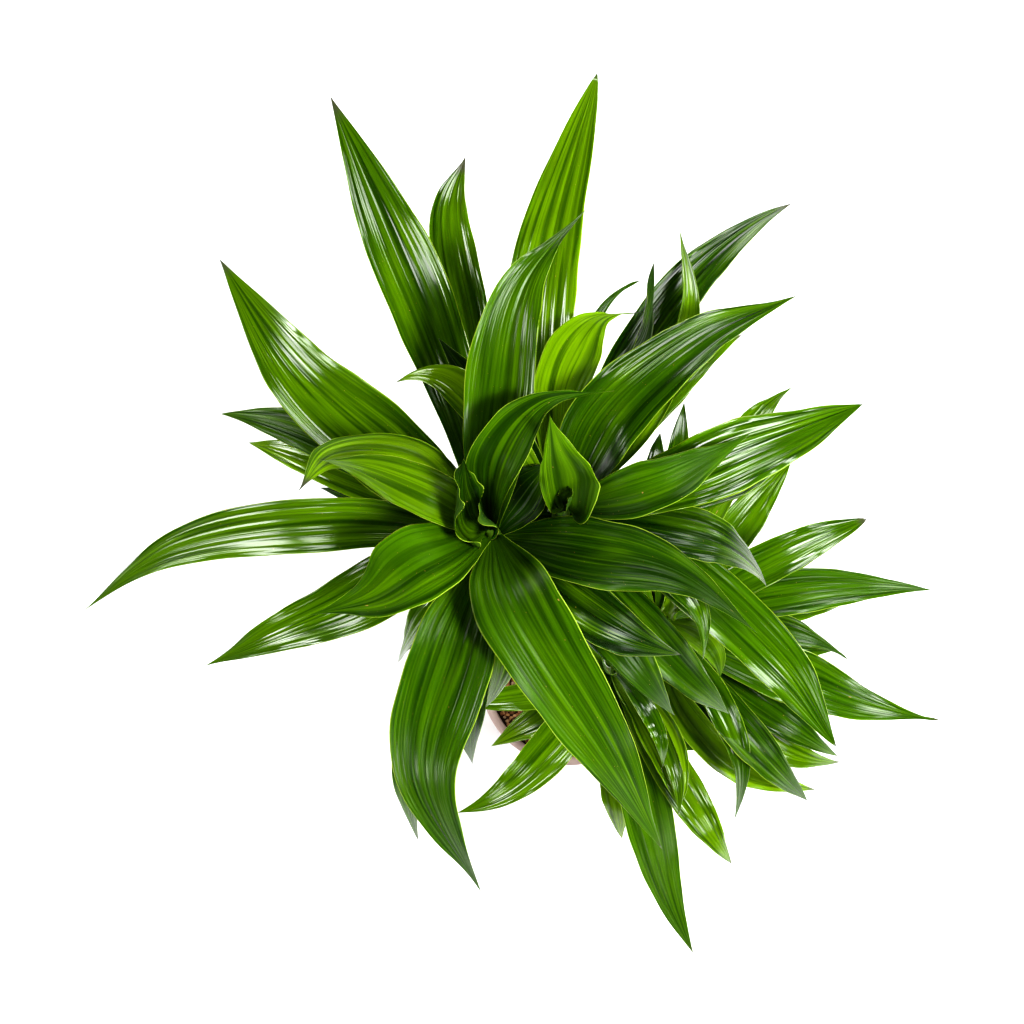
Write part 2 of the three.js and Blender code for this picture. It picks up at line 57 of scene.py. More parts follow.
ROOM_HORIZON = (1.0, 1.0, 1.0, 1)
NEAR_PANELS = 2.2
HIGH_PANELS = 2.6

camera_data = bpy.data.cameras.new("camera_above")
camera_data.sensor_width = SENSOR_WIDTH
camera_data.lens = SENSOR_WIDTH * FOCAL_LENGTH_IN_PIXELS / PICTURE_WIDTH
camera_data.clip_end = FARTHEST_SEEN
camera = bpy.data.objects.new("camera_above", camera_data)
camera.location = CAMERA_PLACE
camera.rotation_euler = (radians(90 - LOOK_DOWN), 0, 0)
bpy.context.collection.objects.link(camera)
bpy.context.scene.camera = camera
bpy.context.scene.view_settings.view_transform = "Standard"
bpy.context.scene.view_settings.look = "High Contrast"


def new_finish(name, **values):
    """A material and its shader, with the shader's plain values set; _ stands for a space."""
    material = bpy.data.materials.new(name)
    material.use_nodes = True
    shader = material.node_tree.nodes["Principled BSDF"]
    for socket, value in values.items():
        shader.inputs[socket.replace("_", " ")].default_value = value
    return material, shader


def add_node(tree, kind, inputs, **settings):
    """A node of that kind. Each of its inputs is a plain value or another node's output."""
    made = tree.nodes.new(kind)
    for setting, value in settings.items():
        setattr(made, setting, value)
    for socket, value in inputs.items():
        if isinstance(value, bpy.types.NodeSocket):
            tree.links.new(value, made.inputs[socket])
        else:
            made.inputs[socket].default_value = value
    return made


def mixed(tree, share, first, second, way="MIX"):
    """A colour that is first where share is 0 and second where it is 1."""
    inputs = {0: share, 6: first, 7: second}
    return add_node(tree, "ShaderNodeMix", inputs, data_type="RGBA", blend_type=way).outputs[2]


def stepped(tree, value, low, high, bottom=0.0, top=1.0):
    """A number that climbs smoothly from bottom to top while value climbs from low to high."""
    inputs = {"Value": value, "From Min": low, "From Max": high, "To Min": bottom, "To Max": top}
    return add_node(tree, "ShaderNodeMapRange", inputs, interpolation_type="SMOOTHSTEP").outputs[0]


def soft_panel(name, heading, elevation, distance, width, height, brightness, mirrored=True):
    """A lit panel at that heading round +Z, elevation and distance from the leaves, facing them.
    Glossy leaves mirror it unless mirrored is off."""
    light = bpy.data.lights.new(name, "AREA")
    light.shape = "RECTANGLE"
    light.size = width
    light.size_y = height
    light.energy = pi * width * height * brightness
    panel = bpy.data.objects.new(name, light)
    level = cos(radians(elevation))
    away = Vector((
        level * cos(radians(heading)),
        level * sin(radians(heading)),
        sin(radians(elevation)),
    ))
    panel.location = LEAVES_MIDDLE + distance * away
    panel.rotation_euler = away.to_track_quat("Z", "Y").to_euler()
    panel.visible_glossy = mirrored
    bpy.context.collection.objects.link(panel)


soft_panel("panel_left", 172, 14, NEAR_PANELS, 1.0, 0.6, 13)
soft_panel("panel_back_left", 145, 32, NEAR_PANELS, 0.5, 0.9, 9.5)
soft_panel("panel_back", 75, 14, NEAR_PANELS, 1.2, 0.5, 7)
soft_panel("panel_back_right", 30, 40, NEAR_PANELS, 0.4, 1.2, 12)
soft_panel("panel_right", 0, 14, NEAR_PANELS, 0.7, 0.6, 10.5)
soft_panel("panel_front_right", 305, 14, NEAR_PANELS, 0.7, 0.6, 4.5)
soft_panel("panel_front", 270, 32, NEAR_PANELS, 0.4, 0.6, 7)
soft_panel("panel_front_left", 240, 14, NEAR_PANELS, 0.5, 0.6, 9.5)
soft_panel("panel_overhead", 100, 78, HIGH_PANELS, 1.8, 1.8, 0.25, mirrored=False)
soft_panel("panel_key", 332, 54, HIGH_PANELS, 0.62, 0.62, 73, mirrored=False)

world = bpy.data.worlds.new("pale_room")
world.use_nodes = True
bpy.context.scene.world = world
world.cycles_visibility.glossy = False
room = world.node_tree
direction = add_node(room, "ShaderNodeTexCoord", {}).outputs["Generated"]
rise = add_node(room, "ShaderNodeSeparateXYZ", {0: direction}).outputs["Z"]
room_colour = mixed(room, stepped(room, rise, 0.35, 0.9), ROOM_HORIZON, ROOM_OVERHEAD)
room.links.new(room_colour, room.nodes["Background"].inputs["Color"])
room.nodes["Background"].inputs["Strength"].default_value = ROOM_STRENGTH

floor_mesh = bpy.data.meshes.new("studio_floor")
floor_mesh.from_pydata(
    [(x * FLOOR_HALF, y * FLOOR_HALF, -FLOOR_DROP) for x, y in ((-1, -1), (1, -1), (1, 1), (-1, 1))],
    [],
    [(0, 1, 2, 3)],
)
studio_floor = bpy.data.objects.new("studio_floor", floor_mesh)
bpy.context.collection.objects.link(studio_floor)
white_floor, _ = new_finish("white_floor", Base_Color=FLOOR_WHITE, Roughness=0.9, Specular_IOR_Level=0.1)
floor_mesh.materials.append(white_floor)

# Pot: a round tapered pot with a thick band round its rim, slip-cast in pale earthenware and left
# matt, with a fine pinkish-grey engobe. It stands on its flat foot. From here on, sizes are in
# millimetres and meshes are written out in metres.
POT_HEIGHT = 190
RIM_RADIUS = 105
RIM_WIDTH = 9
RIM_BAND = 22
BASE_RADIUS = 78
WALL = 6
FOOT_BEVEL = 3
POT_SIDES = 160
CORNER_STEPS = 6
SOFT_CORNER = 2.2
CORNER_SHARE = 0.45
BAND_STEP = 4.5
BAND_CHAMFER = 2
LIP = 4
ENGOBE = (0.38, 0.285, 0.255, 1)
ENGOBE_PALE = (0.47, 0.37, 0.335, 1)
ENGOBE_SPECK = (0.22, 0.15, 0.12, 1)
ENGOBE_RELIEF = 0.0004
MM = 0.001


def object_noise(tree, scale, detail):
    """Noise with that many grains in a metre, fixed to the object."""
    place = add_node(tree, "ShaderNodeTexCoord", {}).outputs["Object"]
    inputs = {"Vector": place, "Scale": scale, "Detail": detail}
    return add_node(tree, "ShaderNodeTexNoise", inputs).outputs["Fac"]


def bumped(tree, strength, depth, height, **under):
    """Normals tilted as on a surface that rises by that depth in metres where height is 1."""
    inputs = {"Strength": strength, "Distance": depth, "Height": height, **under}
    return add_node(tree, "ShaderNodeBump", inputs).outputs["Normal"]


def body_faces(rings, around):
    """Quads and triangles of a body of rings of points, closed by a pole at each end.

    Point 0 is the first pole, then come the rings in order, then the last pole. Each ring runs
    anticlockwise about the way the rings go, so every face looks outwards."""
    here = 1 + np.arange(around)
    onward = 1 + (np.arange(around) + 1) % around
    starts = (np.arange(rings - 1) * around)[:, None]
    quads = np.stack(
        [starts + here, starts + onward, starts + onward + around, starts + here + around], axis=2
    ).reshape(-1, 4)
    last_ring = (rings - 1) * around
    last_pole = rings * around + 1
    foot = np.stack([np.zeros(around, int), onward, here], axis=1)
    crown = np.stack([here + last_ring, onward + last_ring, np.full(around, last_pole)], axis=1)
    return quads, np.concatenate([foot, crown])


def build_piece(name, points, quads, triangles, values=(), blade_map=None):
    """A smooth-shaded mesh object from points in millimetres, with named values for its points."""
    mesh = bpy.data.meshes.new(name)
    corners = np.concatenate([quads.ravel(), triangles.ravel()]).astype(np.int32)
    sizes = np.concatenate([np.full(len(quads), 4), np.full(len(triangles), 3)]).astype(np.int32)
    mesh.vertices.add(len(points))
    mesh.vertices.foreach_set("co", (points * MM).astype(np.float32).ravel())
    mesh.loops.add(len(corners))
    mesh.loops.foreach_set("vertex_index", corners)
    mesh.polygons.add(len(sizes))
    mesh.polygons.foreach_set("loop_start", np.concatenate([[0], np.cumsum(sizes)[:-1]]).astype(np.int32))
    mesh.polygons.foreach_set("loop_total", sizes)
    mesh.polygons.foreach_set("use_smooth", np.ones(len(sizes), bool))
    for label, numbers in dict(values).items():
        stored = mesh.attributes.new(label, "FLOAT", "POINT")
        stored.data.foreach_set("value", np.asarray(numbers, np.float32))
    if blade_map is not None:
        layer = mesh.uv_layers.new(name="blade")
        layer.data.foreach_set("uv", blade_map[corners].astype(np.float32).ravel())
    mesh.update(calc_edges=True)
    mesh.validate()
    piece = bpy.data.objects.new(name, mesh)
    bpy.context.collection.objects.link(piece)
    return piece


def rounded_profile(corners, reach, steps):
    """The corners of a profile, each swapped for a parabola that begins and ends reach away."""
    middle = corners[1:-1]
    back = corners[:-2] - middle
    ahead = corners[2:] - middle
    back_length = np.linalg.norm(back, axis=1, keepdims=True)
    ahead_length = np.linalg.norm(ahead, axis=1, keepdims=True)
    start = middle + back / back_length * np.minimum(reach, back_length * CORNER_SHARE)
    end = middle + ahead / ahead_length * np.minimum(reach, ahead_length * CORNER_SHARE)
    s = np.linspace(0, 1, steps)[None, :, None]
    curves = (1 - s) ** 2 * start[:, None] + 2 * s * (1 - s) * middle[:, None] + s * s * end[:, None]
    return curves.reshape(-1, 2)


def inner_radius(z):
    """Inside radius of the pot at a height above its underside: a straight taper."""
    top_inside = RIM_RADIUS - RIM_WIDTH
    floor_inside = BASE_RADIUS - WALL
    return floor_inside + (top_inside - floor_inside) * (z - WALL) / (POT_HEIGHT - WALL)


def turned(profile, sides):
    """Rings of points of a turned body: each profile point (radius, height) carried round +Z."""
    turn = np.linspace(0, 2 * pi, sides, endpoint=False)
    radius, height = profile[:, :1], profile[:, 1:]
    return np.stack([radius * np.cos(turn), radius * np.sin(turn), height + 0 * turn], axis=2)


band_foot = POT_HEIGHT - RIM_BAND
pot_corners = np.array([
    (0, 0),
    (BASE_RADIUS - FOOT_BEVEL, 0),
    (BASE_RADIUS, FOOT_BEVEL),
    (RIM_RADIUS - BAND_STEP, band_foot),
    (RIM_RADIUS - 1, band_foot + BAND_CHAMFER),
    (RIM_RADIUS, POT_HEIGHT - LIP),
    (RIM_RADIUS - 2, POT_HEIGHT - 1),
    (RIM_RADIUS - RIM_WIDTH / 2, POT_HEIGHT),
    (RIM_RADIUS - RIM_WIDTH + 2, POT_HEIGHT - 1),
    (inner_radius(POT_HEIGHT - LIP), POT_HEIGHT - LIP),
    (inner_radius(WALL), WALL),
    (0, WALL),
])
pot_rings = turned(rounded_profile(pot_corners, SOFT_CORNER, CORNER_STEPS), POT_SIDES)
pot_points = np.concatenate([[(0, 0, 0)], pot_rings.reshape(-1, 3), [(0, 0, WALL)]])
pot = build_piece("earthenware_pot", pot_points, *body_faces(len(pot_rings), POT_SIDES))

engobe, engobe_shader = new_finish("matt_engobe", Specular_IOR_Level=0.35)
tree = engobe.node_tree
cloud = object_noise(tree, 34, 5)
speck = object_noise(tree, 900, 2)
grain = object_noise(tree, 420, 3)
clay = mixed(tree, stepped(tree, cloud, 0.3, 0.7, 0.1, 0.9), ENGOBE, ENGOBE_PALE)
clay = mixed(tree, stepped(tree, speck, 0.66, 0.72, 0, 0.5), clay, ENGOBE_SPECK)
tree.links.new(clay, engobe_shader.inputs["Base Color"])
tree.links.new(stepped(tree, grain, 0.3, 0.7, 0.52, 0.72), engobe_shader.inputs["Roughness"])
tree.links.new(bumped(tree, 0.25, ENGOBE_RELIEF, grain), engobe_shader.inputs["Normal"])
pot.data.materials.append(engobe)
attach(pot, "root")
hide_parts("pot")

# Substrate: coarse fired-clay and bark granules, four to six millimetres across, poured into the pot
# round the canes. A dark bed of packed granules fills the pot, and loose ones lie over its top.
FILL_DEPTH_BELOW_RIM = 13
HEAP_HEIGHT = 1.6
HEAP_PITCH = (7, 6)
LUMP_HEIGHT = 0.9
LUMP_PITCH = 4
CLEARANCE = 0.3
GRANULE_SPACING = 4.4
GRANULE_HALF = (2.0, 3.1)
GRANULE_RINGS = 4
GRANULE_SIDES = 7
GRANULE_CLEAR = 2
GRANULE_STRAY = 1.7
GRANULE_FLATNESS = 0.85
GRANULE_ENDS = 0.82
GRANULE_KNOBS = (0.78, 1.12)
GRANULE_RISE = (-0.4, 1.6)
GRANULE_TINTS = (0.12, 1)
GRANULE_SEED = 7
CANE_ROOM = 17
BED_SIDES = 96
BED_RINGS = 40
PEAT = (0.035, 0.018, 0.009, 1)
STONE_TINTS = (
    (0.1, PEAT),
    (0.3, (0.2, 0.09, 0.04, 1)),
    (0.55, (0.4, 0.19, 0.085, 1)),
    (0.8, (0.54, 0.3, 0.14, 1)),
    (0.96, (0.6, 0.43, 0.28, 1)),
)
STONE_RELIEF = 0.0006
TALL_CANE = dict(foot=(-25, 45), top=(-50, 55), height=788, radii=(19, 17))
SHORT_CANE = dict(foot=(45, 0), top=(58, -4), height=450, radii=(17, 16))
CANE_FOOT = 45
fill_top = POT_HEIGHT - FILL_DEPTH_BELOW_RIM


def fill_height(x, y):
    """Height of the bed over a spot: nearly level, with two sets of low waves crossing."""
    heap = HEAP_HEIGHT * np.sin(x / HEAP_PITCH[0] + 0.6) * np.cos(y / HEAP_PITCH[1])
    return fill_top + heap + LUMP_HEIGHT * np.sin((x - y) / LUMP_PITCH)


bed_floor = WALL + CLEARANCE
bed_rim = inner_radius(fill_top) - CLEARANCE
bed_radii = np.linspace(bed_rim, 0, BED_RINGS)[:-1]
bed_profile = np.array(
    [(inner_radius(bed_floor) - CLEARANCE, bed_floor)] + [(radius, fill_top) for radius in bed_radii]
)
bed_rings = turned(bed_profile, BED_SIDES)
bed_rings[2:, :, 2] = fill_height(bed_rings[2:, :, 0], bed_rings[2:, :, 1])
bed_points = np.concatenate([[(0, 0, bed_floor)], bed_rings.reshape(-1, 3), [(0, 0, fill_height(0, 0))]])
bed_quads, bed_triangles = body_faces(len(bed_rings), BED_SIDES)


def cane_axis(cane, height):
    """Where a straight cane's axis is at a height."""
    share = (height - CANE_FOOT) / (cane["height"] - CANE_FOOT)
    return np.array(cane["foot"]) + (np.array(cane["top"]) - np.array(cane["foot"])) * share


scatter = np.random.default_rng(GRANULE_SEED)
rows = np.arange(-bed_rim, bed_rim, GRANULE_SPACING)
spots = np.stack(np.meshgrid(rows, rows), axis=2).reshape(-1, 2)
spots = np.concatenate([spots, spots[::3] + GRANULE_SPACING / 2])
spots = spots + scatter.uniform(-GRANULE_STRAY, GRANULE_STRAY, spots.shape)
kept = np.linalg.norm(spots, axis=1) < bed_rim - GRANULE_CLEAR - 1
for cane in (TALL_CANE, SHORT_CANE):
    kept &= np.linalg.norm(spots - cane_axis(cane, fill_top), axis=1) > CANE_ROOM + GRANULE_CLEAR
spots = spots[kept]
count = len(spots)

# One granule is a ball of a few flat facets, pushed in and out at random and turned at random
lift = np.linspace(-1, 1, GRANULE_RINGS + 2)[1:-1] * GRANULE_ENDS
round_way = np.linspace(0, 2 * pi, GRANULE_SIDES, endpoint=False)
ball = np.stack([
    np.sqrt(1 - lift[:, None] ** 2) * np.cos(round_way),
    np.sqrt(1 - lift[:, None] ** 2) * np.sin(round_way),
    lift[:, None] + 0 * round_way,
], axis=2).reshape(-1, 3)
ball = np.concatenate([[(0, 0, -1)], ball, [(0, 0, 1)]])
lumps = ball * scatter.uniform(*GRANULE_KNOBS, (count, len(ball), 1))
lumps = lumps * scatter.uniform(*GRANULE_HALF, (count, 1, 3)) * (1, 1, GRANULE_FLATNESS)
axes = scatter.normal(size=(count, 3, 3))
first = axes[:, 0] / np.linalg.norm(axes[:, 0], axis=1, keepdims=True)
third = np.cross(first, axes[:, 1])
third /= np.linalg.norm(third, axis=1, keepdims=True)
turns = np.stack([first, np.cross(third, first), third], axis=1)
lumps = np.einsum("cpi,cij->cpj", lumps, turns)
heights = fill_height(spots[:, 0], spots[:, 1]) + scatter.uniform(*GRANULE_RISE, count)
lumps += np.concatenate([spots, heights[:, None]], axis=1)[:, None]
lump_quads, lump_triangles = body_faces(GRANULE_RINGS, GRANULE_SIDES)
steps = (len(bed_points) + np.arange(count) * len(ball))[:, None, None]
tint = np.repeat(scatter.uniform(*GRANULE_TINTS, count), len(ball))
substrate = build_piece(
    "loose_granules",
    np.concatenate([bed_points, lumps.reshape(-1, 3)]),
    np.concatenate([bed_quads, (lump_quads + steps).reshape(-1, 4)]),
    np.concatenate([bed_triangles, (lump_triangles + steps).reshape(-1, 3)]),
    {"tint": np.concatenate([np.zeros(len(bed_points)), tint])},
)


def stored_value(tree, label):
    """A number stored for each point of a mesh."""
    return add_node(tree, "ShaderNodeAttribute", {}, attribute_name=label).outputs["Fac"]


granules, granule_shader = new_finish("fired_clay_and_bark", Roughness=0.85, Specular_IOR_Level=0.25)
tree = granules.node_tree
pits = object_noise(tree, 650, 3)
ramp = add_node(tree, "ShaderNodeValToRGB", {"Fac": stored_value(tree, "tint")})
for spot, colour in STONE_TINTS:
    stop = ramp.color_ramp.elements.new(spot)
    stop.color = colour
ramp.color_ramp.elements.remove(ramp.color_ramp.elements[0])
ramp.color_ramp.elements.remove(ramp.color_ramp.elements[-1])
dusty = mixed(tree, stepped(tree, pits, 0.3, 0.7, 0, 0.45), ramp.outputs["Color"], PEAT)
tree.links.new(dusty, granule_shader.inputs["Base Color"])
tree.links.new(bumped(tree, 0.6, STONE_RELIEF, pits), granule_shader.inputs["Normal"])
substrate.data.materials.append(granules)
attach(substrate, "root")
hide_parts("substrate")

# Canes: two bare woody stems, ringed by the scars of shed leaves, with fine upright cracks in grey-
# brown bark. Each was sawn off flat above its shoots and stands a hand's breadth deep in the fill.
FIRST_SCAR = 165
SCAR_SPACING = 40
SCAR_RISE = 3
SCAR_HEIGHT = 0.9
SCAR_LEAD = 5
SCAR_WANDER = 1.6
SCAR_FADE = (14, 11)
SAWN_EDGE = 1.5
CRACK_DEPTH = 0.22
CANE_SWELL = 0.5
CANE_SINK = 0.3
CANE_SIDES = 64
CANE_STEP = 2.5
BARK = (0.21, 0.135, 0.075, 1)
BARK_GREY = (0.36, 0.29, 0.21, 1)
BARK_DARK = (0.06, 0.035, 0.018, 1)
SAWN_WOOD = (0.5, 0.36, 0.2, 1)
BARK_RELIEF = 0.0012
FIBRE_GRAIN = (260, 260, 26)


def smooth(x):
    """0 below 0, 1 above 1 and the cubic 3x² - 2x³ between."""
    x = np.clip(x, 0, 1)
    return x * x * (3 - 2 * x)


def grow_cane(name, cane, node, phase):
    """Rings square to a straight axis. The radius tapers, steps out at every scar and sinks back
    over the next stretch, and carries upright cracks as a sum of sines round the stem."""
    foot = np.array([*cane["foot"], CANE_FOOT], float)
    top = np.array([*cane["top"], cane["height"]], float)
    length = np.linalg.norm(top - foot)
    along = (top - foot) / length
    right = np.cross((0, 1, 0), along)
    right /= np.linalg.norm(right)
    front = np.cross(along, right)
    distance = np.append(np.arange(0, length - SAWN_EDGE, CANE_STEP), [length - SAWN_EDGE, length])[:, None]
    turn = np.linspace(0, 2 * pi, CANE_SIDES, endpoint=False)
    since_scar = np.mod(distance - FIRST_SCAR + SCAR_WANDER * np.sin(turn + phase), SCAR_SPACING)
    scar = smooth(since_scar / SCAR_RISE) * smooth((SCAR_FADE[0] - since_scar) / SCAR_FADE[1])
    scar = scar * (distance > FIRST_SCAR - SCAR_LEAD)
    cracks = np.sin(9 * turn + 1.7 * np.sin(distance / 31 + phase)) + 0.6 * np.sin(17 * turn - distance / 23)
    lean = CANE_SWELL * np.sin(2 * turn + distance / 90 + phase)
    radius = cane["radii"][0] + (cane["radii"][1] - cane["radii"][0]) * distance / length
    radius = radius + SCAR_HEIGHT * scar + CRACK_DEPTH * cracks * (1 - scar) + lean - CANE_SINK
    radius[-1] -= SAWN_EDGE
    out = np.cos(turn)[None, :, None] * right + np.sin(turn)[None, :, None] * front
    rings = foot + distance[:, :, None] * along + radius[:, :, None] * out
    points = np.concatenate([[foot], rings.reshape(-1, 3), [top]])
    height = np.broadcast_to(distance, radius.shape)
    bark_map = np.stack([np.broadcast_to(turn / (2 * pi), radius.shape), height / length], axis=2)
    bark_map = np.concatenate([[(0, 0)], bark_map.reshape(-1, 2), [(0, 1)]])
    scars = np.concatenate([[0], scar.ravel(), [0]])
    sawn = np.concatenate([[0], np.repeat(distance.ravel() > length - 0.5, CANE_SIDES), [1]])
    piece = build_piece(
        name, points, *body_faces(len(rings), CANE_SIDES), {"scar": scars, "sawn": sawn}, bark_map
    )
    piece.data.materials.append(bark)
    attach(piece, "root")
    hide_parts(node)


bark, bark_shader = new_finish("ringed_bark", Roughness=0.8, Specular_IOR_Level=0.3)
tree = bark.node_tree
place = add_node(tree, "ShaderNodeTexCoord", {}).outputs["Object"]
upright = add_node(tree, "ShaderNodeMapping", {"Vector": place, "Scale": FIBRE_GRAIN}).outputs[0]
fibre = add_node(tree, "ShaderNodeTexNoise", {"Vector": upright, "Scale": 1, "Detail": 5}).outputs["Fac"]
patch = object_noise(tree, 38, 3)
skin = mixed(tree, stepped(tree, patch, 0.35, 0.65), BARK, BARK_GREY)
skin = mixed(tree, stepped(tree, fibre, 0.5, 0.72, 0, 0.8), skin, BARK_DARK)
skin = mixed(tree, stepped(tree, stored_value(tree, "scar"), 0.3, 1, 0, 0.55), skin, BARK_DARK)
skin = mixed(tree, stored_value(tree, "sawn"), skin, SAWN_WOOD)
tree.links.new(skin, bark_shader.inputs["Base Color"])
tree.links.new(bumped(tree, 0.7, BARK_RELIEF, fibre), bark_shader.inputs["Normal"])
grow_cane("bare_cane_tall", TALL_CANE, "cane_tall", phase=0.4)
grow_cane("bare_cane_short", SHORT_CANE, "cane_short", phase=2.1)

# Upper left head: a green shoot from the side of the tall cane with its spiral of strap leaves, dark
# and glossy above, paler below, pleated lengthwise and edged in yellow-green. Shoot and leaves grew
# as one body. The young leaf in the middle is still rolled. The other heads are made the same way.
#
# Every leaf grows from the axis of its shoot at the height root. Its tip is a heading in degrees
# round that point, a reach and a height. Its bend, and its crook where it has one, are points on the
# way there: an angle from the tip's heading, a reach and a height. Width is the blade's full width and
# curl the radius that its cross-section curves to; a rolled leaf opens to tip_curl. Roll and twist
# turn the blade about its midrib, hook swings the tip sideways and droop lets it hang. Widest is where
# the blade is broadest and point how fast it narrows. Lean widens one side, keel folds the blade at
# its midrib, waves, wave and ruffle shape its margins and tail draws out its tip. Tone runs from old
# dark green to young, and also carries painted light and shade: it is set darker on leaves that lie
# in shade, such as tightly rolled ones, and lighter on some shaded lower leaves as painted light.
# Gloss, pleat and dry scale its shine, its pleats and its withered tip.
SHOOT_RADIUS = 7
SHOOT_FOOT_RADIUS = 10
SHOOT_TIP_RADIUS = 1.5
ROOT_REACH = 3
HALF_THICKNESS = 0.35
BROAD_LEAF = 46
BROAD_MESH = (45, 60)
NARROW_MESH = (25, 48)
WIDEST_AT = 0.42
TIP_POWER = 1.1
BASE_POWER = 1.25
LEAN_DONE = 0.3
RUFFLE_SHARE = 0.05
KEEL = 12
THREAD_HALF_WIDTH = 1.6
BASE_WIDTH_SHARE = 0.24
CLASP_END = 0.22
ROLL_DONE = 0.35
SWING_START = 0.6
WAVES_PER_LEAF = 2.3
WAVE_SHARE = 0.045
WAVE_FADE = 0.22
RIPPLE_SHARE = 0.3
NICK_SHARE = 0.018
FINE_NICK_SHARE = 0.012
PHASE_STEP = 0.618
PHASE_GAP = 0.37
FULLEST_CURL = 2.85
PLEAT_SPACING = 9.5
PLEAT_DEPTH = 0.6
PLEAT_SKEW = (0.14, 0.05)
FOLD_RELIEF = 0.0018
VEIN_RELIEF = 0.00012
DROOP = 5
FLAT_MAP_STEP = 40
SHOOT_SIDES = 32
SHOOT_RINGS = 70
LEAF_SCAR_SPACING = 9
LEAF_SCAR_DEPTH = 0.5
LEAF_SCAR_WANDER = 1.2
LEAF_VALUES = ("edge", "along", "under", "tone_and_light", "dry", "gloss", "breadth", "ridge")
LEAF_DEEP = (0.012, 0.04, 0.0004, 1)
LEAF_MIDDLE = (0.042, 0.11, 0.0006, 1)
LEAF_BRIGHT = (0.12, 0.23, 0.001, 1)
LEAF_YOUNG = (0.22, 0.38, 0.002, 1)
LEAF_UNDERSIDE = (0.07, 0.13, 0.03, 1)
LEAF_EDGE = (0.4, 0.56, 0.06, 1)
DARK_MARK_AND_SHADE = (0.28, 0.36, 0.2, 1)
DRY_TIP = (0.075, 0.075, 0.045, 1)
SCORCH = (0.45, 0.26, 0.1, 1)
SHOOT_GREEN = (0.05, 0.1, 0.006, 1)
SHOOT_BROWN = (0.2, 0.13, 0.06, 1)

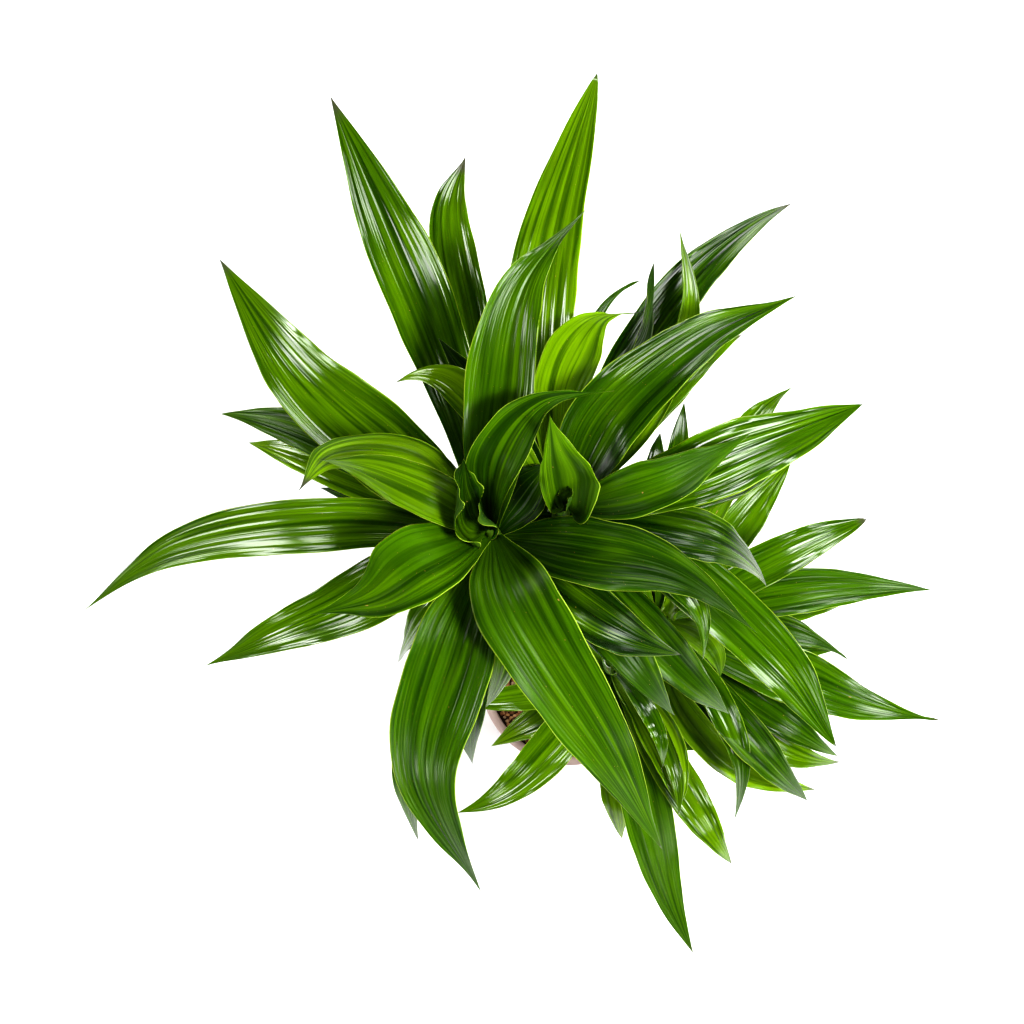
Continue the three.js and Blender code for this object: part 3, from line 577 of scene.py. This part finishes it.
UPPER_LEFT = dict(
    foot=(-68, 50, 745),
    crown=(-86.6, 37.9, 894),
    leaves=(
        # Large leaves: three to the front and right, then from the front left round the back
        dict(root=862, tip=(-92, 285, 750), bend=(-14, 105, 900), crook=(-13, 200, 870), width=70, curl=95,
             twist=10, droop=10, widest=0.38, point=1.2, tone_and_light=0.42, gloss=0.45, pleat=0.7),
        dict(root=870, tip=(-61, 285, 815), bend=(-11, 75, 915), crook=(-2, 190, 895), width=70, curl=110,
             droop=10, widest=0.33, point=1.15, tone_and_light=0.47, gloss=0.35, pleat=0.7),
        dict(root=848, tip=(-19, 230, 815), bend=(3, 75, 885), crook=(6, 150, 870), width=60, curl=80,
             droop=22, widest=0.33, point=1.5, tone_and_light=0.15, gloss=0.25, pleat=0.6),
        dict(root=880, tip=(-155, 165, 885), bend=(9, 60, 932), crook=(8, 110, 925), width=64, curl=65,
             widest=0.38, point=2.3, tone_and_light=0.47, gloss=0.05, pleat=0.5),
        dict(root=848, tip=(-174, 380, 690), bend=(-7, 125, 890), crook=(-6, 270, 800), width=46, curl=110,
             twist=-35, droop=20, widest=0.4, point=1.6, tone_and_light=0.58, gloss=0.7),
        dict(root=838, tip=(-159, 270, 760), bend=(6, 95, 860), crook=(3, 185, 835), width=54, curl=65,
             widest=0.36, point=1.3, ruffle=0.12, tone_and_light=0.58, gloss=0.9),
        dict(root=886, tip=(158, 145, 905), bend=(-2, 45, 932), crook=(-2, 100, 928), width=42, curl=60,
             roll=-10, widest=0.36, point=1.7, keel=20, waves=1.5, tone_and_light=0.68, gloss=0.3, pleat=0.4),
        dict(root=882, tip=(167, 160, 868), bend=(-30, 75, 918), crook=(-13, 135, 908), width=40, curl=45,
             roll=-25, twist=-80, droop=8, widest=0.45, point=1.5, waves=1.2, tone_and_light=1.0, gloss=0.3,
             pleat=0.5, dry=1.0),
        dict(root=850, tip=(133, 360, 790), bend=(11, 95, 872), crook=(7, 215, 862), width=72, curl=80,
             tone_and_light=0.6, gloss=1.0),
        dict(root=842, tip=(110, 440, 800), bend=(-3, 135, 880), crook=(-1, 265, 870), width=57, curl=80,
             widest=0.56, tone_and_light=0.5, gloss=0.8),
        dict(root=820, tip=(95, 355, 800), bend=(3, 165, 848), crook=(4, 280, 840), width=41, curl=65,
             widest=0.5, point=1.2, tone_and_light=0.58, dry=1.0),
        dict(root=876, tip=(73, 285, 900), bend=(11, 80, 930), crook=(9, 185, 940), width=64, curl=40,
             widest=0.38, point=1.9, lean=0.08, tone_and_light=0.48, gloss=0.7),
        dict(root=892, tip=(46, 145, 930), bend=(32, 45, 955), crook=(18, 95, 960), width=48, curl=34,
             roll=5, droop=10, widest=0.32, point=2.6, tone_and_light=0.3, gloss=0.1, pleat=0.5),
        dict(root=858, tip=(51, 70, 877), bend=(0, 40, 880), width=46, curl=50, tone_and_light=0.0, gloss=0.2),
        # The young leaf in the middle, still rolled; its tone of 0 is painted shade in the hollow of the
        # roll
        dict(root=893, tip=(114, 40, 985), bend=(43, 15, 918), crook=(20, 25, 950), width=58, curl=14,
             tip_curl=7, droop=0, widest=0.22, point=1.3, wave=0.1, ruffle=0.12, tone_and_light=0.0, gloss=0.1),
        # Older leaves lower down, half hidden
        dict(root=825, tip=(154, 270, 790), bend=(-4, 155, 840), width=42, curl=50, tone_and_light=0.5, gloss=0.35),
        dict(root=815, tip=(156, 245, 760), bend=(0, 140, 820), width=40, curl=50, tone_and_light=0.9, gloss=0.9),
        dict(root=805, tip=(159, 175, 740), bend=(2, 90, 800), width=30, curl=50, tone_and_light=0.2),
        dict(root=828, tip=(-106, 255, 690), bend=(-7, 150, 830), width=44, curl=50, hook=20, droop=10),
        dict(root=815, tip=(-98, 180, 700), bend=(-4, 115, 800), width=36, curl=50),
        dict(root=808, tip=(-135, 130, 720), bend=(-2, 80, 800), width=34, curl=50, roll=30),
        dict(root=806, tip=(-97, 130, 690), bend=(9, 80, 780), width=34, curl=28, droop=10),
        dict(root=838, tip=(-30, 180, 785), bend=(-8, 90, 862), width=56, curl=45, hook=10, droop=8,
             lean=-0.3, tone_and_light=0.0, gloss=0.6),
        dict(root=822, tip=(-42, 205, 730), bend=(-6, 115, 820), width=48, curl=45, hook=8, droop=8,
             lean=0.88, tone_and_light=0.3, gloss=0.6),
    ),
)


def outline(t, widest, point):
    """Half the blade's width as a share of its greatest: a sine rise, then a cosine fall."""
    rise = np.sin(pi / 2 * np.clip(t / widest, 0, 1)) ** BASE_POWER
    rise = BASE_WIDTH_SHARE + (1 - BASE_WIDTH_SHARE) * rise
    fall = np.maximum(np.cos(pi / 2 * np.clip((t - widest) / (1 - widest), 0, 1)), 0) ** point
    return np.where(t < widest, rise, fall)


def curve_through(stops, t):
    """The points of a smooth curve at t, and its directions: between two stops a cubic whose
    slope at each stop is half the step from the stop before it to the stop after it."""
    first, last = 2 * stops[0] - stops[1], 2 * stops[-1] - stops[-2]
    stops = np.array([first, *stops, last])
    spans = len(stops) - 3
    span = np.minimum((t[:, 0] * spans).astype(int), spans - 1)
    w = t * spans - span[:, None]
    before, start, end, after = [stops[span + i] for i in range(4)]
    leaving, arriving = (end - before) / 2, (after - start) / 2
    rise = 3 * w**2 - 2 * w**3
    points = start + rise * (end - start) + (w**3 - 2 * w**2 + w) * leaving + (w**3 - w**2) * arriving
    slope = 6 * w - 6 * w**2
    speed = slope * (end - start) + (3 * w**2 - 4 * w + 1) * leaving + (3 * w**2 - 2 * w) * arriving
    return points, speed * spans


def unit(vectors):
    """The same vectors at length 1."""
    return vectors / np.linalg.norm(vectors, axis=-1, keepdims=True)


def heading_point(start, heading, reach, z):
    """The point at a level reach and heading from start, at height z."""
    return np.array([start[0] + reach * cos(heading), start[1] + reach * sin(heading), z])


def on_shoot(shoot, z):
    """The point of a shoot's axis at a height."""
    foot, crown = np.array(shoot["foot"], float), np.array(shoot["crown"], float)
    return foot + (crown - foot) * (z - foot[2]) / (crown[2] - foot[2])


def grow_leaf(shoot, leaf, order, luck):
    """One leaf as a closed body of rings: its points, its faces, values for the points and its flat
    map in centimetres.

    The midrib is a parabola from the shoot through the bend, or a smooth curve through the bend
    and the crook, and its last part swings by hook and droop. Each cross-section is an arc of the
    radius curl about the midrib, clasping the shoot at its foot. The margins wave and are nicked by
    sines of the distance along, and the face is pleated by cosines of the distance across, spaced
    and deepened unevenly. Both faces lie half a thickness from the arc and meet at the margins."""
    width, curl = leaf["width"], leaf["curl"]
    rolled = width > 3 * curl
    across, along = BROAD_MESH if width >= BROAD_LEAF else NARROW_MESH
    axis_point = on_shoot(shoot, leaf["root"])
    heading = radians(leaf["tip"][0])
    side = np.array([-sin(heading), cos(heading), 0.0])
    root = heading_point(axis_point, heading, 0 if rolled else ROOT_REACH, leaf["root"])
    tip = heading_point(axis_point, heading, leaf["tip"][1], leaf["tip"][2])
    stops = [leaf[name] for name in ("bend", "crook") if name in leaf]
    stops = [heading_point(axis_point, heading + radians(turn), reach, z) for turn, reach, z in stops]
    swing = side * leaf.get("hook", 0)
    swing[2] = -leaf.get("droop", DROOP)
    end = tip - swing

    t = np.linspace(0, 1, along + 1)[:, None]
    late = np.maximum((t - SWING_START) / (1 - SWING_START), 0)
    if len(stops) == 1:
        pull = 2 * stops[0] - (root + end) / 2
        centre = (1 - t) ** 2 * root + 2 * t * (1 - t) * pull + t * t * end
        forward = 2 * (1 - t) * (pull - root) + 2 * t * (end - pull)
    else:
        centre, forward = curve_through([root, *stops, end], t)
    centre = centre + swing * late**2
    forward = unit(forward + swing * 2 * late / (1 - SWING_START))
    flat_side = unit(side - (forward @ side)[:, None] * forward)
    flat_up = np.cross(forward, flat_side)
    turn = np.radians(leaf.get("roll", 0) * smooth(t / ROLL_DONE) + leaf.get("twist", 0) * t * t)
    left = flat_side * np.cos(turn) + flat_up * np.sin(turn)
    up = flat_up * np.cos(turn) - flat_side * np.sin(turn)

    upper = np.linspace(1, -1, across)
    v = np.concatenate([upper, upper[-2:0:-1]])[None, :]
    face = np.concatenate([np.ones(across), -np.ones(across - 2)])[None, :]
    share = outline(t, leaf.get("widest", WIDEST_AT), leaf.get("point", TIP_POWER))
    fade = smooth(t / WAVE_FADE) * smooth((1 - t) / WAVE_FADE)
    phase = np.where(v > 0, order * PHASE_STEP % 1, (order * PHASE_STEP + PHASE_GAP) % 1)
    swell = np.sin(2 * pi * (leaf.get("waves", WAVES_PER_LEAF) * t + phase)) * fade
    nicks = NICK_SHARE * np.sin(19 * t + 5 * order) + FINE_NICK_SHARE * np.sin(43 * t + 3 * order)
    half_width = width / 2 * share * (1 + nicks * np.sign(v) * np.abs(v) ** 4)
    half_width = half_width * (1 + leaf.get("lean", 0) * np.sign(v) * smooth(t / LEAN_DONE))
    half_width = half_width * (1 + leaf.get("ruffle", RUFFLE_SHARE) * swell)
    if "tail" in leaf:
        half_width = np.maximum(half_width, THREAD_HALF_WIDTH * smooth(3 * (1 - t) / leaf["tail"]))
    open_curl = curl + (leaf.get("tip_curl", curl) - curl) * t * t
    radius = SHOOT_RADIUS + (open_curl - SHOOT_RADIUS) * smooth(t / CLASP_END)
    ripple = RIPPLE_SHARE * fade * np.sin(31 * t + 2.5 * np.sign(v) + 3 * order + 2 * np.sin(9 * t))
    wave = leaf.get("wave", WAVE_SHARE) * width * (np.abs(v) ** 3 * swell + np.abs(v) ** 5 * ripple)
    drift, bias, fine = luck.uniform(0, 2 * pi, 3)
    pitch = pi * width / PLEAT_SPACING
    spread = v + PLEAT_SKEW[0] * np.sin(2.7 * v + bias) + PLEAT_SKEW[1] * np.sin(6.1 * v + drift)
    sway = pitch * spread + bias + 0.5 * np.sin(4 * t + drift)
    pleat = 0.5 * np.cos(sway) + 1.6 * np.abs(np.cos(sway / 2)) - 1
    pleat = pleat * (0.6 + 0.5 * np.sin(3.3 * v + fine + 1.5 * np.sin(2 * t + bias)))
    pleat = pleat + 0.35 * np.cos(2.3 * pitch * spread + fine + 0.7 * np.sin(3 * t + bias))
    ridge = pleat[1:-1]
    depth = PLEAT_DEPTH * leaf.get("pleat", 1) * share * smooth(t / 0.12) * smooth((1 - t) / 0.1)
    pleat = pleat * depth * (1 - v ** 6) * (0.8 + 0.35 * np.sin(7 * t + 4 * v + fine))
    thickness = face * HALF_THICKNESS * (1 - v ** 8)
    rise = wave + pleat + thickness
    crease = radians(leaf.get("keel", KEEL)) * (1 - t) * smooth(t / CLASP_END)
    tilt = crease + np.clip(half_width * np.abs(v) / radius, 0, FULLEST_CURL)
    outward = np.sign(v) * (radius * (np.sin(tilt) - np.sin(crease)) - rise * np.sin(tilt))
    upward = radius * (np.cos(crease) - np.cos(tilt)) + rise * np.cos(tilt)
    rings = centre[:, None] + outward[:, :, None] * left[:, None] + upward[:, :, None] * up[:, None]

    ring_t = np.broadcast_to(t[1:-1], rings[1:-1].shape[:2])
    ring_v = np.broadcast_to(v, ring_t.shape)
    points = np.concatenate([centre[:1], rings[1:-1].reshape(-1, 3), centre[-1:]])
    length = np.linalg.norm(tip - root)
    start = FLAT_MAP_STEP * order
    flat = np.stack([ring_v * width / 20, ring_t * length / 10 + start], axis=2).reshape(-1, 2)
    flat = np.concatenate([[(0, start)], flat, [(0, length / 10 + start)]])
    values = {
        "edge": np.concatenate([[0], np.abs(ring_v).ravel(), [1]]),
        "along": np.concatenate([[0], ring_t.ravel(), [1]]),
        "under": np.concatenate([[0], np.broadcast_to(face < 0, ring_t.shape).ravel(), [0]]),
        "tone_and_light": np.full(len(points), leaf.get("tone_and_light", luck.uniform(0.25, 0.6))),
        "dry": np.full(len(points), leaf.get("dry", luck.uniform(0, 0.6))),
        "gloss": np.full(len(points), leaf.get("gloss", 1)),
        "breadth": np.concatenate([[0], np.broadcast_to(share[1:-1], ring_t.shape).ravel(), [0]]),
        "ridge": np.concatenate([[0], np.broadcast_to(ridge, ring_t.shape).ravel(), [0]]),
    }
    return points, body_faces(along - 1, v.size), values, flat


def grow_shoot(shoot):
    """A shoot as rings about its axis: a pointed foot, a swell and a long taper, ringed by scars."""
    foot, crown = np.array(shoot["foot"], float), np.array(shoot["crown"], float)
    length = np.linalg.norm(crown - foot)
    along = (crown - foot) / length
    right = unit(np.cross((0, 1, 0), along))
    front = np.cross(along, right)
    distance = np.linspace(0, length, SHOOT_RINGS)[:, None]
    radius = np.interp(
        distance,
        [0, 0.12 * length, 0.5 * length, 0.8 * length, length],
        [SHOOT_FOOT_RADIUS * 0.4, SHOOT_FOOT_RADIUS, SHOOT_RADIUS + 1, SHOOT_RADIUS, SHOOT_TIP_RADIUS],
    )
    turn = np.linspace(0, 2 * pi, SHOOT_SIDES, endpoint=False)
    ring = np.mod(distance + LEAF_SCAR_WANDER * np.sin(turn), LEAF_SCAR_SPACING) / LEAF_SCAR_SPACING
    radius = radius - LEAF_SCAR_DEPTH * smooth((ring - 0.75) / 0.15) * smooth((1 - ring) / 0.1)
    out = np.cos(turn)[None, :, None] * right + np.sin(turn)[None, :, None] * front
    rings = foot + distance[:, :, None] * along + radius[:, :, None] * out
    points = np.concatenate([[foot], rings.reshape(-1, 3), [crown]])
    share = np.concatenate([[0], np.repeat(distance.ravel() / length, SHOOT_SIDES), [1]])
    nothing = np.zeros(len(points))
    values = {**dict.fromkeys(LEAF_VALUES, nothing), "along": share}
    return points, body_faces(SHOOT_RINGS, SHOOT_SIDES), values, np.stack([nothing, share * 10], axis=1)


def grow_head(name, head, node, seed):
    """All leaves of a head and its shoot in one mesh; the shoot's faces take the second finish."""
    luck = np.random.default_rng(seed)
    bodies = [grow_leaf(head, leaf, order, luck) for order, leaf in enumerate(head["leaves"])]
    bodies.append(grow_shoot(head))
    starts = np.cumsum([0] + [len(points) for points, *_ in bodies])
    quads = np.concatenate([faces[0] + start for (_, faces, _, _), start in zip(bodies, starts)])
    triangles = np.concatenate([faces[1] + start for (_, faces, _, _), start in zip(bodies, starts)])
    piece = build_piece(
        name,
        np.concatenate([points for points, *_ in bodies]),
        quads,
        triangles,
        {label: np.concatenate([values[label] for _, _, values, _ in bodies]) for label in LEAF_VALUES},
        np.concatenate([flat for *_, flat in bodies]),
    )
    piece.data.materials.append(glossy_leaf)
    piece.data.materials.append(green_shoot)
    on_axis = np.concatenate([quads[:, 0], triangles[:, 1]]) >= starts[-2]
    piece.data.polygons.foreach_set("material_index", on_axis.astype(np.int32))
    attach(piece, "root")
    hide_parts(node)


glossy_leaf, leaf_shader = new_finish(
    "glossy_leaf",
    Subsurface_Weight=0.12,
    Subsurface_Radius=(0.5, 1.0, 0.05),
    Subsurface_Scale=0.002,
)
tree = glossy_leaf.node_tree
blade = add_node(tree, "ShaderNodeUVMap", {}, uv_map="blade").outputs["UV"]


def leaf_noise(stretch, detail):
    """Noise on the flat leaf, stretched by so much across and along, per centimetre."""
    spread = add_node(tree, "ShaderNodeMapping", {"Vector": blade, "Scale": (*stretch, 1)}).outputs[0]
    noise = add_node(tree, "ShaderNodeTexNoise", {"Vector": spread, "Scale": 1, "Detail": detail})
    return noise.outputs["Fac"]


def combined(tree, operation, first, second):
    """The result of that operation on two plain numbers or outputs of nodes."""
    return add_node(tree, "ShaderNodeMath", {0: first, 1: second}, operation=operation).outputs[0]


veins = leaf_noise((6, 0.04), 3)
folds = leaf_noise((2.3, 0.03), 1)
streaks = leaf_noise((1.6, 0.05), 3)
clouds = leaf_noise((0.35, 0.12), 2)
grains = leaf_noise((40, 40), 2)
blots = leaf_noise((2.1, 1.3), 1)
specks = leaf_noise((9, 6), 0)
edge, along, under, tone_and_light, dry, gloss, breadth, ridge = [stored_value(tree, v) for v in LEAF_VALUES]
# Tone gives each leaf its green, from old dark to young, and with it painted light and shade per leaf.
green = mixed(tree, stepped(tree, tone_and_light, 0.0, 0.5), LEAF_DEEP, LEAF_MIDDLE)
green = mixed(tree, stepped(tree, tone_and_light, 0.4, 1.0), green, LEAF_YOUNG)
green = mixed(tree, stepped(tree, clouds, 0.45, 0.75, 0, 0.4), green, LEAF_BRIGHT)
green = mixed(tree, stepped(tree, veins, 0.5, 0.7, 0, 0.4), green, LEAF_BRIGHT)
# Darkening multiplied in where the mask is high: streaks, dark veins and mottling of the leaf's own colour,
# plus painted shade in the pleat valleys and at the leaf bases.
darker = mixed(tree, 1, green, DARK_MARK_AND_SHADE, "MULTIPLY")
marks_and_painted_shade = stepped(tree, streaks, 0.56, 0.34)
# Painted shade: the pleat valleys are darkened as if shaded by the ridges beside them.
painted_valley_shade = stepped(tree, ridge, 0.1, -0.9, 0, 0.6)
in_vein = stepped(tree, veins, 0.46, 0.32, 0, 0.7)
in_cloud = stepped(tree, clouds, 0.5, 0.28, 0, 0.6)
# Painted shade: each leaf is darkened near its base, where the crown and the leaves above shade it.
painted_crown_shade = stepped(tree, along, 0.03, 0.34, 0.62, 0)
for other_shade in (painted_valley_shade, in_vein, in_cloud, painted_crown_shade):
    marks_and_painted_shade = combined(tree, "MAXIMUM", marks_and_painted_shade, other_shade)
green = mixed(tree, marks_and_painted_shade, green, darker)
green = mixed(tree, stepped(tree, under, 0.3, 0.7, 0, 0.25), green, LEAF_UNDERSIDE)
green = mixed(tree, stepped(tree, edge, 0.966, 0.992, 0, 0.75), green, LEAF_EDGE)
green = mixed(tree, stepped(tree, blots, 0.79, 0.82, 0, 0.8), green, SCORCH)
green = mixed(tree, stepped(tree, specks, 0.83, 0.87, 0, 0.5), green, SCORCH)
withered = combined(tree, "ADD", combined(tree, "MULTIPLY", dry, 0.13), along)
green = mixed(tree, stepped(tree, withered, 1.0, 1.06, 0, 0.9), green, DRY_TIP)
tree.links.new(green, leaf_shader.inputs["Base Color"])
waxy = combined(tree, "MULTIPLY", gloss, stepped(tree, along, 0.05, 0.4, 0.25, 1))
satin = stepped(tree, grains, 0.3, 0.7, 0.09, 0.15)
matt = stepped(tree, waxy, 0, 1, 0.25, 0)
dull = stepped(tree, under, 0.3, 0.7, 0, 0.18)
rough = combined(tree, "ADD", combined(tree, "ADD", satin, matt), dull)
tree.links.new(rough, leaf_shader.inputs["Roughness"])
tree.links.new(combined(tree, "MULTIPLY", waxy, 0.62), leaf_shader.inputs["Specular IOR Level"])
relief = stepped(tree, breadth, 0, 0.9, 0.05, 1)
folded = bumped(tree, relief, FOLD_RELIEF, folds)
tree.links.new(bumped(tree, relief, VEIN_RELIEF, veins, Normal=folded), leaf_shader.inputs["Normal"])

green_shoot, shoot_shader = new_finish("green_shoot_skin", Roughness=0.5, Specular_IOR_Level=0.4)
tree = green_shoot.node_tree
up_shoot = stored_value(tree, "along")
mottle = object_noise(tree, 240, 3)
shoot_skin = mixed(tree, stepped(tree, up_shoot, 0.1, 0.6), SHOOT_BROWN, SHOOT_GREEN)
shoot_skin = mixed(tree, stepped(tree, mottle, 0.55, 0.7, 0, 0.4), shoot_skin, BARK_DARK)
tree.links.new(shoot_skin, shoot_shader.inputs["Base Color"])

grow_head("foliage_upper_left", UPPER_LEFT, "head_upper_left", seed=11)

# Upper right head: the second shoot of the tall cane. Its young leaf has begun to unroll and leans
# to the left, and beside it stands the next one, still rolled tight.
UPPER_RIGHT = dict(
    foot=(-30, 62, 735),
    crown=(-26, 58, 890),
    leaves=(
        dict(root=850, tip=(85, 405, 830), bend=(15, 110, 885), crook=(7, 230, 880), width=60, curl=80,
             widest=0.5, point=0.8, tone_and_light=0.68, gloss=1.3),
        dict(root=854, tip=(143, 170, 885), bend=(-12, 110, 902), width=34, curl=50, hook=20, tone_and_light=0.8),
        dict(root=850, tip=(126, 170, 897), bend=(0, 90, 890), width=34, curl=50, tone_and_light=0.0, gloss=0.3),
        dict(root=805, tip=(128, 180, 760), bend=(5, 100, 800), width=30, curl=50),
        # The young leaf that has begun to unroll, and the next one, whose tone of 0 is painted shade
        dict(root=886, tip=(105, 50, 990), bend=(98, 5, 922), crook=(17, 20, 958), width=48, curl=8,
             tip_curl=150, droop=0, widest=0.48, point=1.35, lean=-0.5, wave=0.07, ruffle=0.1,
             tone_and_light=0.57, gloss=0.15, pleat=0.5),
        dict(root=890, tip=(11, 5, 950), bend=(-92, 5, 920), crook=(-37, 5, 938), width=26, curl=8,
             tip_curl=9, droop=0, wave=0.1, tone_and_light=0.0, gloss=0.1),
        # Leaves to the back, then round the right to the front
        dict(root=858, tip=(68, 185, 862), bend=(25, 95, 892), crook=(13, 150, 900), width=50, curl=60,
             widest=0.45, point=3.2, lean=-0.2, tail=0.3, ruffle=0.08, tone_and_light=0.76, gloss=0.1,
             pleat=0.7, dry=0.9),
        dict(root=846, tip=(71, 220, 838), bend=(11, 130, 872), width=13, curl=40, roll=20, twist=40,
             hook=-15, tail=0.2),
        dict(root=825, tip=(55, 375, 765), bend=(9, 205, 822), width=45, curl=50, point=1.0, lean=-0.12,
             tone_and_light=0.2, gloss=0.7),
        dict(root=872, tip=(44, 285, 830), bend=(17, 80, 912), crook=(7, 180, 890), width=62, curl=80,
             widest=0.26, point=1.2, tone_and_light=0.25, gloss=0.7),
        dict(root=806, tip=(48, 255, 742), bend=(5, 140, 800), width=42, curl=50, tone_and_light=0.6),
        dict(root=832, tip=(68, 290, 800), bend=(-20, 105, 860), crook=(-10, 205, 850), width=27, curl=14,
             roll=10, point=1.2, tone_and_light=0.7),
        dict(root=838, tip=(70, 240, 835), bend=(1, 115, 880), crook=(-4, 165, 870), width=38, curl=30,
             roll=110, twist=-90, tone_and_light=0.1, gloss=0.35),
        dict(root=845, tip=(23, 290, 785), bend=(-11, 90, 890), crook=(-4, 180, 860), width=59, curl=95,
             widest=0.5, point=1.0, tone_and_light=0.5, gloss=1.2),
        dict(root=882, tip=(23, 170, 875), bend=(-18, 60, 925), crook=(-8, 110, 915), width=43, curl=65,
             widest=0.34, point=1.6, tone_and_light=0.4, gloss=0.2),
        dict(root=825, tip=(18, 210, 760), bend=(-5, 120, 830), width=44, curl=50),
        dict(root=848, tip=(-12, 190, 730), bend=(3, 105, 856), width=46, curl=65, hook=-12, droop=40,
             tone_and_light=0.0, gloss=0.5),
        dict(root=818, tip=(-36, 305, 708), bend=(16, 95, 812), crook=(5, 215, 780), width=55, curl=80,
             droop=10, widest=0.5, point=0.9, tone_and_light=0.47, gloss=0.8),
        dict(root=806, tip=(-44, 215, 695), bend=(-3, 130, 786), width=45, curl=50, droop=8, lean=-0.3,
             tone_and_light=0.3, gloss=0.5),
        # A short leaf under the two upper crowns
        dict(root=838, tip=(-165, 40, 838), bend=(-5, 15, 846), width=44, curl=60, tone_and_light=0.15),
        dict(root=828, tip=(-43, 165, 792), bend=(14, 105, 843), width=28, curl=28, hook=-10, droop=8,
             tone_and_light=0.4),
    ),
)
grow_head("foliage_upper_right", UPPER_RIGHT, "head_upper_right", seed=12)

# Lower right head: the first shoot of the short cane. Most of its leaves reach out to the right
# from under the upper heads.
LOWER_RIGHT = dict(
    foot=(74, 8, 420),
    crown=(87, 21, 545),
    leaves=(
        dict(root=510, tip=(8, 290, 480), bend=(4, 140, 540), width=48, curl=80, point=1.25, tone_and_light=0.45,
             gloss=0.6),
        dict(root=520, tip=(27, 240, 510), bend=(1, 120, 550), width=44, curl=80, point=0.75, tone_and_light=0.5,
             gloss=1.6),
        dict(root=505, tip=(-17, 310, 450), bend=(-6, 155, 532), width=60, curl=80, hook=15, point=1.8,
             tail=0.12, tone_and_light=0.45, gloss=0.8),
        dict(root=498, tip=(-8, 205, 455), bend=(6, 105, 518), width=40, curl=50, hook=-12, point=1.5,
             tail=0.15, tone_and_light=0.3, gloss=0.5),
        dict(root=492, tip=(-5, 190, 450), bend=(-5, 105, 500), width=34, curl=50),
        dict(root=480, tip=(10, 210, 440), bend=(0, 130, 490), width=36, curl=50),
        dict(root=490, tip=(-33, 230, 430), bend=(-5, 130, 505), width=40, curl=50, tone_and_light=0.45, gloss=0.7),
        dict(root=475, tip=(-32, 240, 400), bend=(-13, 140, 480), width=42, curl=50, hook=12, tone_and_light=0.65),
        dict(root=498, tip=(-47, 235, 420), bend=(-4, 135, 522), width=46, curl=50, lean=-0.3, tone_and_light=0.3,
             gloss=0.5),
        dict(root=468, tip=(-40, 240, 360), bend=(-14, 130, 450), width=48, curl=65, lean=-0.65, tone_and_light=1.0),
        dict(root=512, tip=(-68, 210, 435), bend=(10, 110, 540), width=32, curl=28, hook=-22, droop=20,
             tone_and_light=0.45),
        dict(root=500, tip=(82, 250, 470), bend=(1, 140, 510), width=34, curl=28, tone_and_light=0.2),
        dict(root=490, tip=(87, 220, 450), bend=(3, 135, 490), width=34, curl=28, tone_and_light=0.3),
        dict(root=505, tip=(60, 300, 490), bend=(5, 160, 545), crook=(4, 240, 530), width=38, curl=40,
             point=1.8, tone_and_light=0.6),
        dict(root=495, tip=(51, 235, 470), bend=(0, 130, 510), width=44, curl=80, tone_and_light=0.6),
        dict(root=525, tip=(-50, 80, 560), bend=(11, 45, 590), width=30, curl=16, roll=20, tone_and_light=0.7,
             gloss=0.3),
        dict(root=488, tip=(117, 165, 450), bend=(3, 90, 515), width=44, curl=65),
        dict(root=470, tip=(102, 190, 415), bend=(-4, 95, 480), width=44, curl=65),
        dict(root=482, tip=(141, 150, 430), bend=(-2, 80, 500), width=44, curl=65),
        # The young leaf in the middle, still rolled
        dict(root=540, tip=(79, 15, 620), bend=(1, 10, 585), width=40, curl=8, tip_curl=12, droop=0,
             tone_and_light=0.9),
    ),
)
grow_head("foliage_lower_right", LOWER_RIGHT, "head_lower_right", seed=13)

# Lower left head: the second shoot of the short cane, the lowest of the plant. Its leaves reach
# down past the pot's near side.
LOWER_LEFT = dict(
    foot=(41, -17, 380),
    crown=(36, -22, 480),
    leaves=(
        dict(root=418, tip=(-73, 310, 325), bend=(-4, 160, 424), width=54, curl=80, hook=15, tone_and_light=0.5,
             gloss=0.4),
        dict(root=410, tip=(-85, 175, 310), bend=(-3, 110, 390), width=40, curl=50, tone_and_light=1.0),
        dict(root=445, tip=(-138, 220, 410), bend=(10, 115, 470), width=48, curl=65, hook=-20, tone_and_light=0.6),
        dict(root=430, tip=(-149, 150, 390), bend=(3, 80, 440), width=40, curl=40, tone_and_light=0.8, gloss=0.7),
        dict(root=415, tip=(-149, 135, 360), bend=(9, 70, 415), width=34, curl=40),
        dict(root=438, tip=(-170, 180, 420), bend=(9, 90, 460), width=32, curl=65, tone_and_light=0.62, gloss=1.3),
        dict(root=426, tip=(-57, 240, 360), bend=(-3, 145, 434), width=44, curl=65, tone_and_light=0.68, gloss=1.6),
        dict(root=450, tip=(-65, 160, 444), bend=(3, 95, 474), width=44, curl=40, lean=0.4, tone_and_light=1.0,
             gloss=1.5),
        dict(root=460, tip=(-66, 165, 445), bend=(9, 95, 490), width=24, curl=12, roll=20, tone_and_light=0.6,
             gloss=1.5),
        dict(root=470, tip=(-65, 115, 485), bend=(6, 70, 530), width=20, curl=20, tone_and_light=0.4),
        dict(root=405, tip=(-29, 160, 335), bend=(-20, 70, 410), width=46, curl=65, tone_and_light=0.5),
        dict(root=450, tip=(153, 120, 430), bend=(1, 60, 480), width=42, curl=65),
        # The young leaf in the middle, still rolled
        dict(root=474, tip=(156, 15, 550), bend=(36, 10, 520), width=34, curl=7, tip_curl=10, droop=0),
    ),
)
grow_head("foliage_lower_left", LOWER_LEFT, "head_lower_left", seed=14)
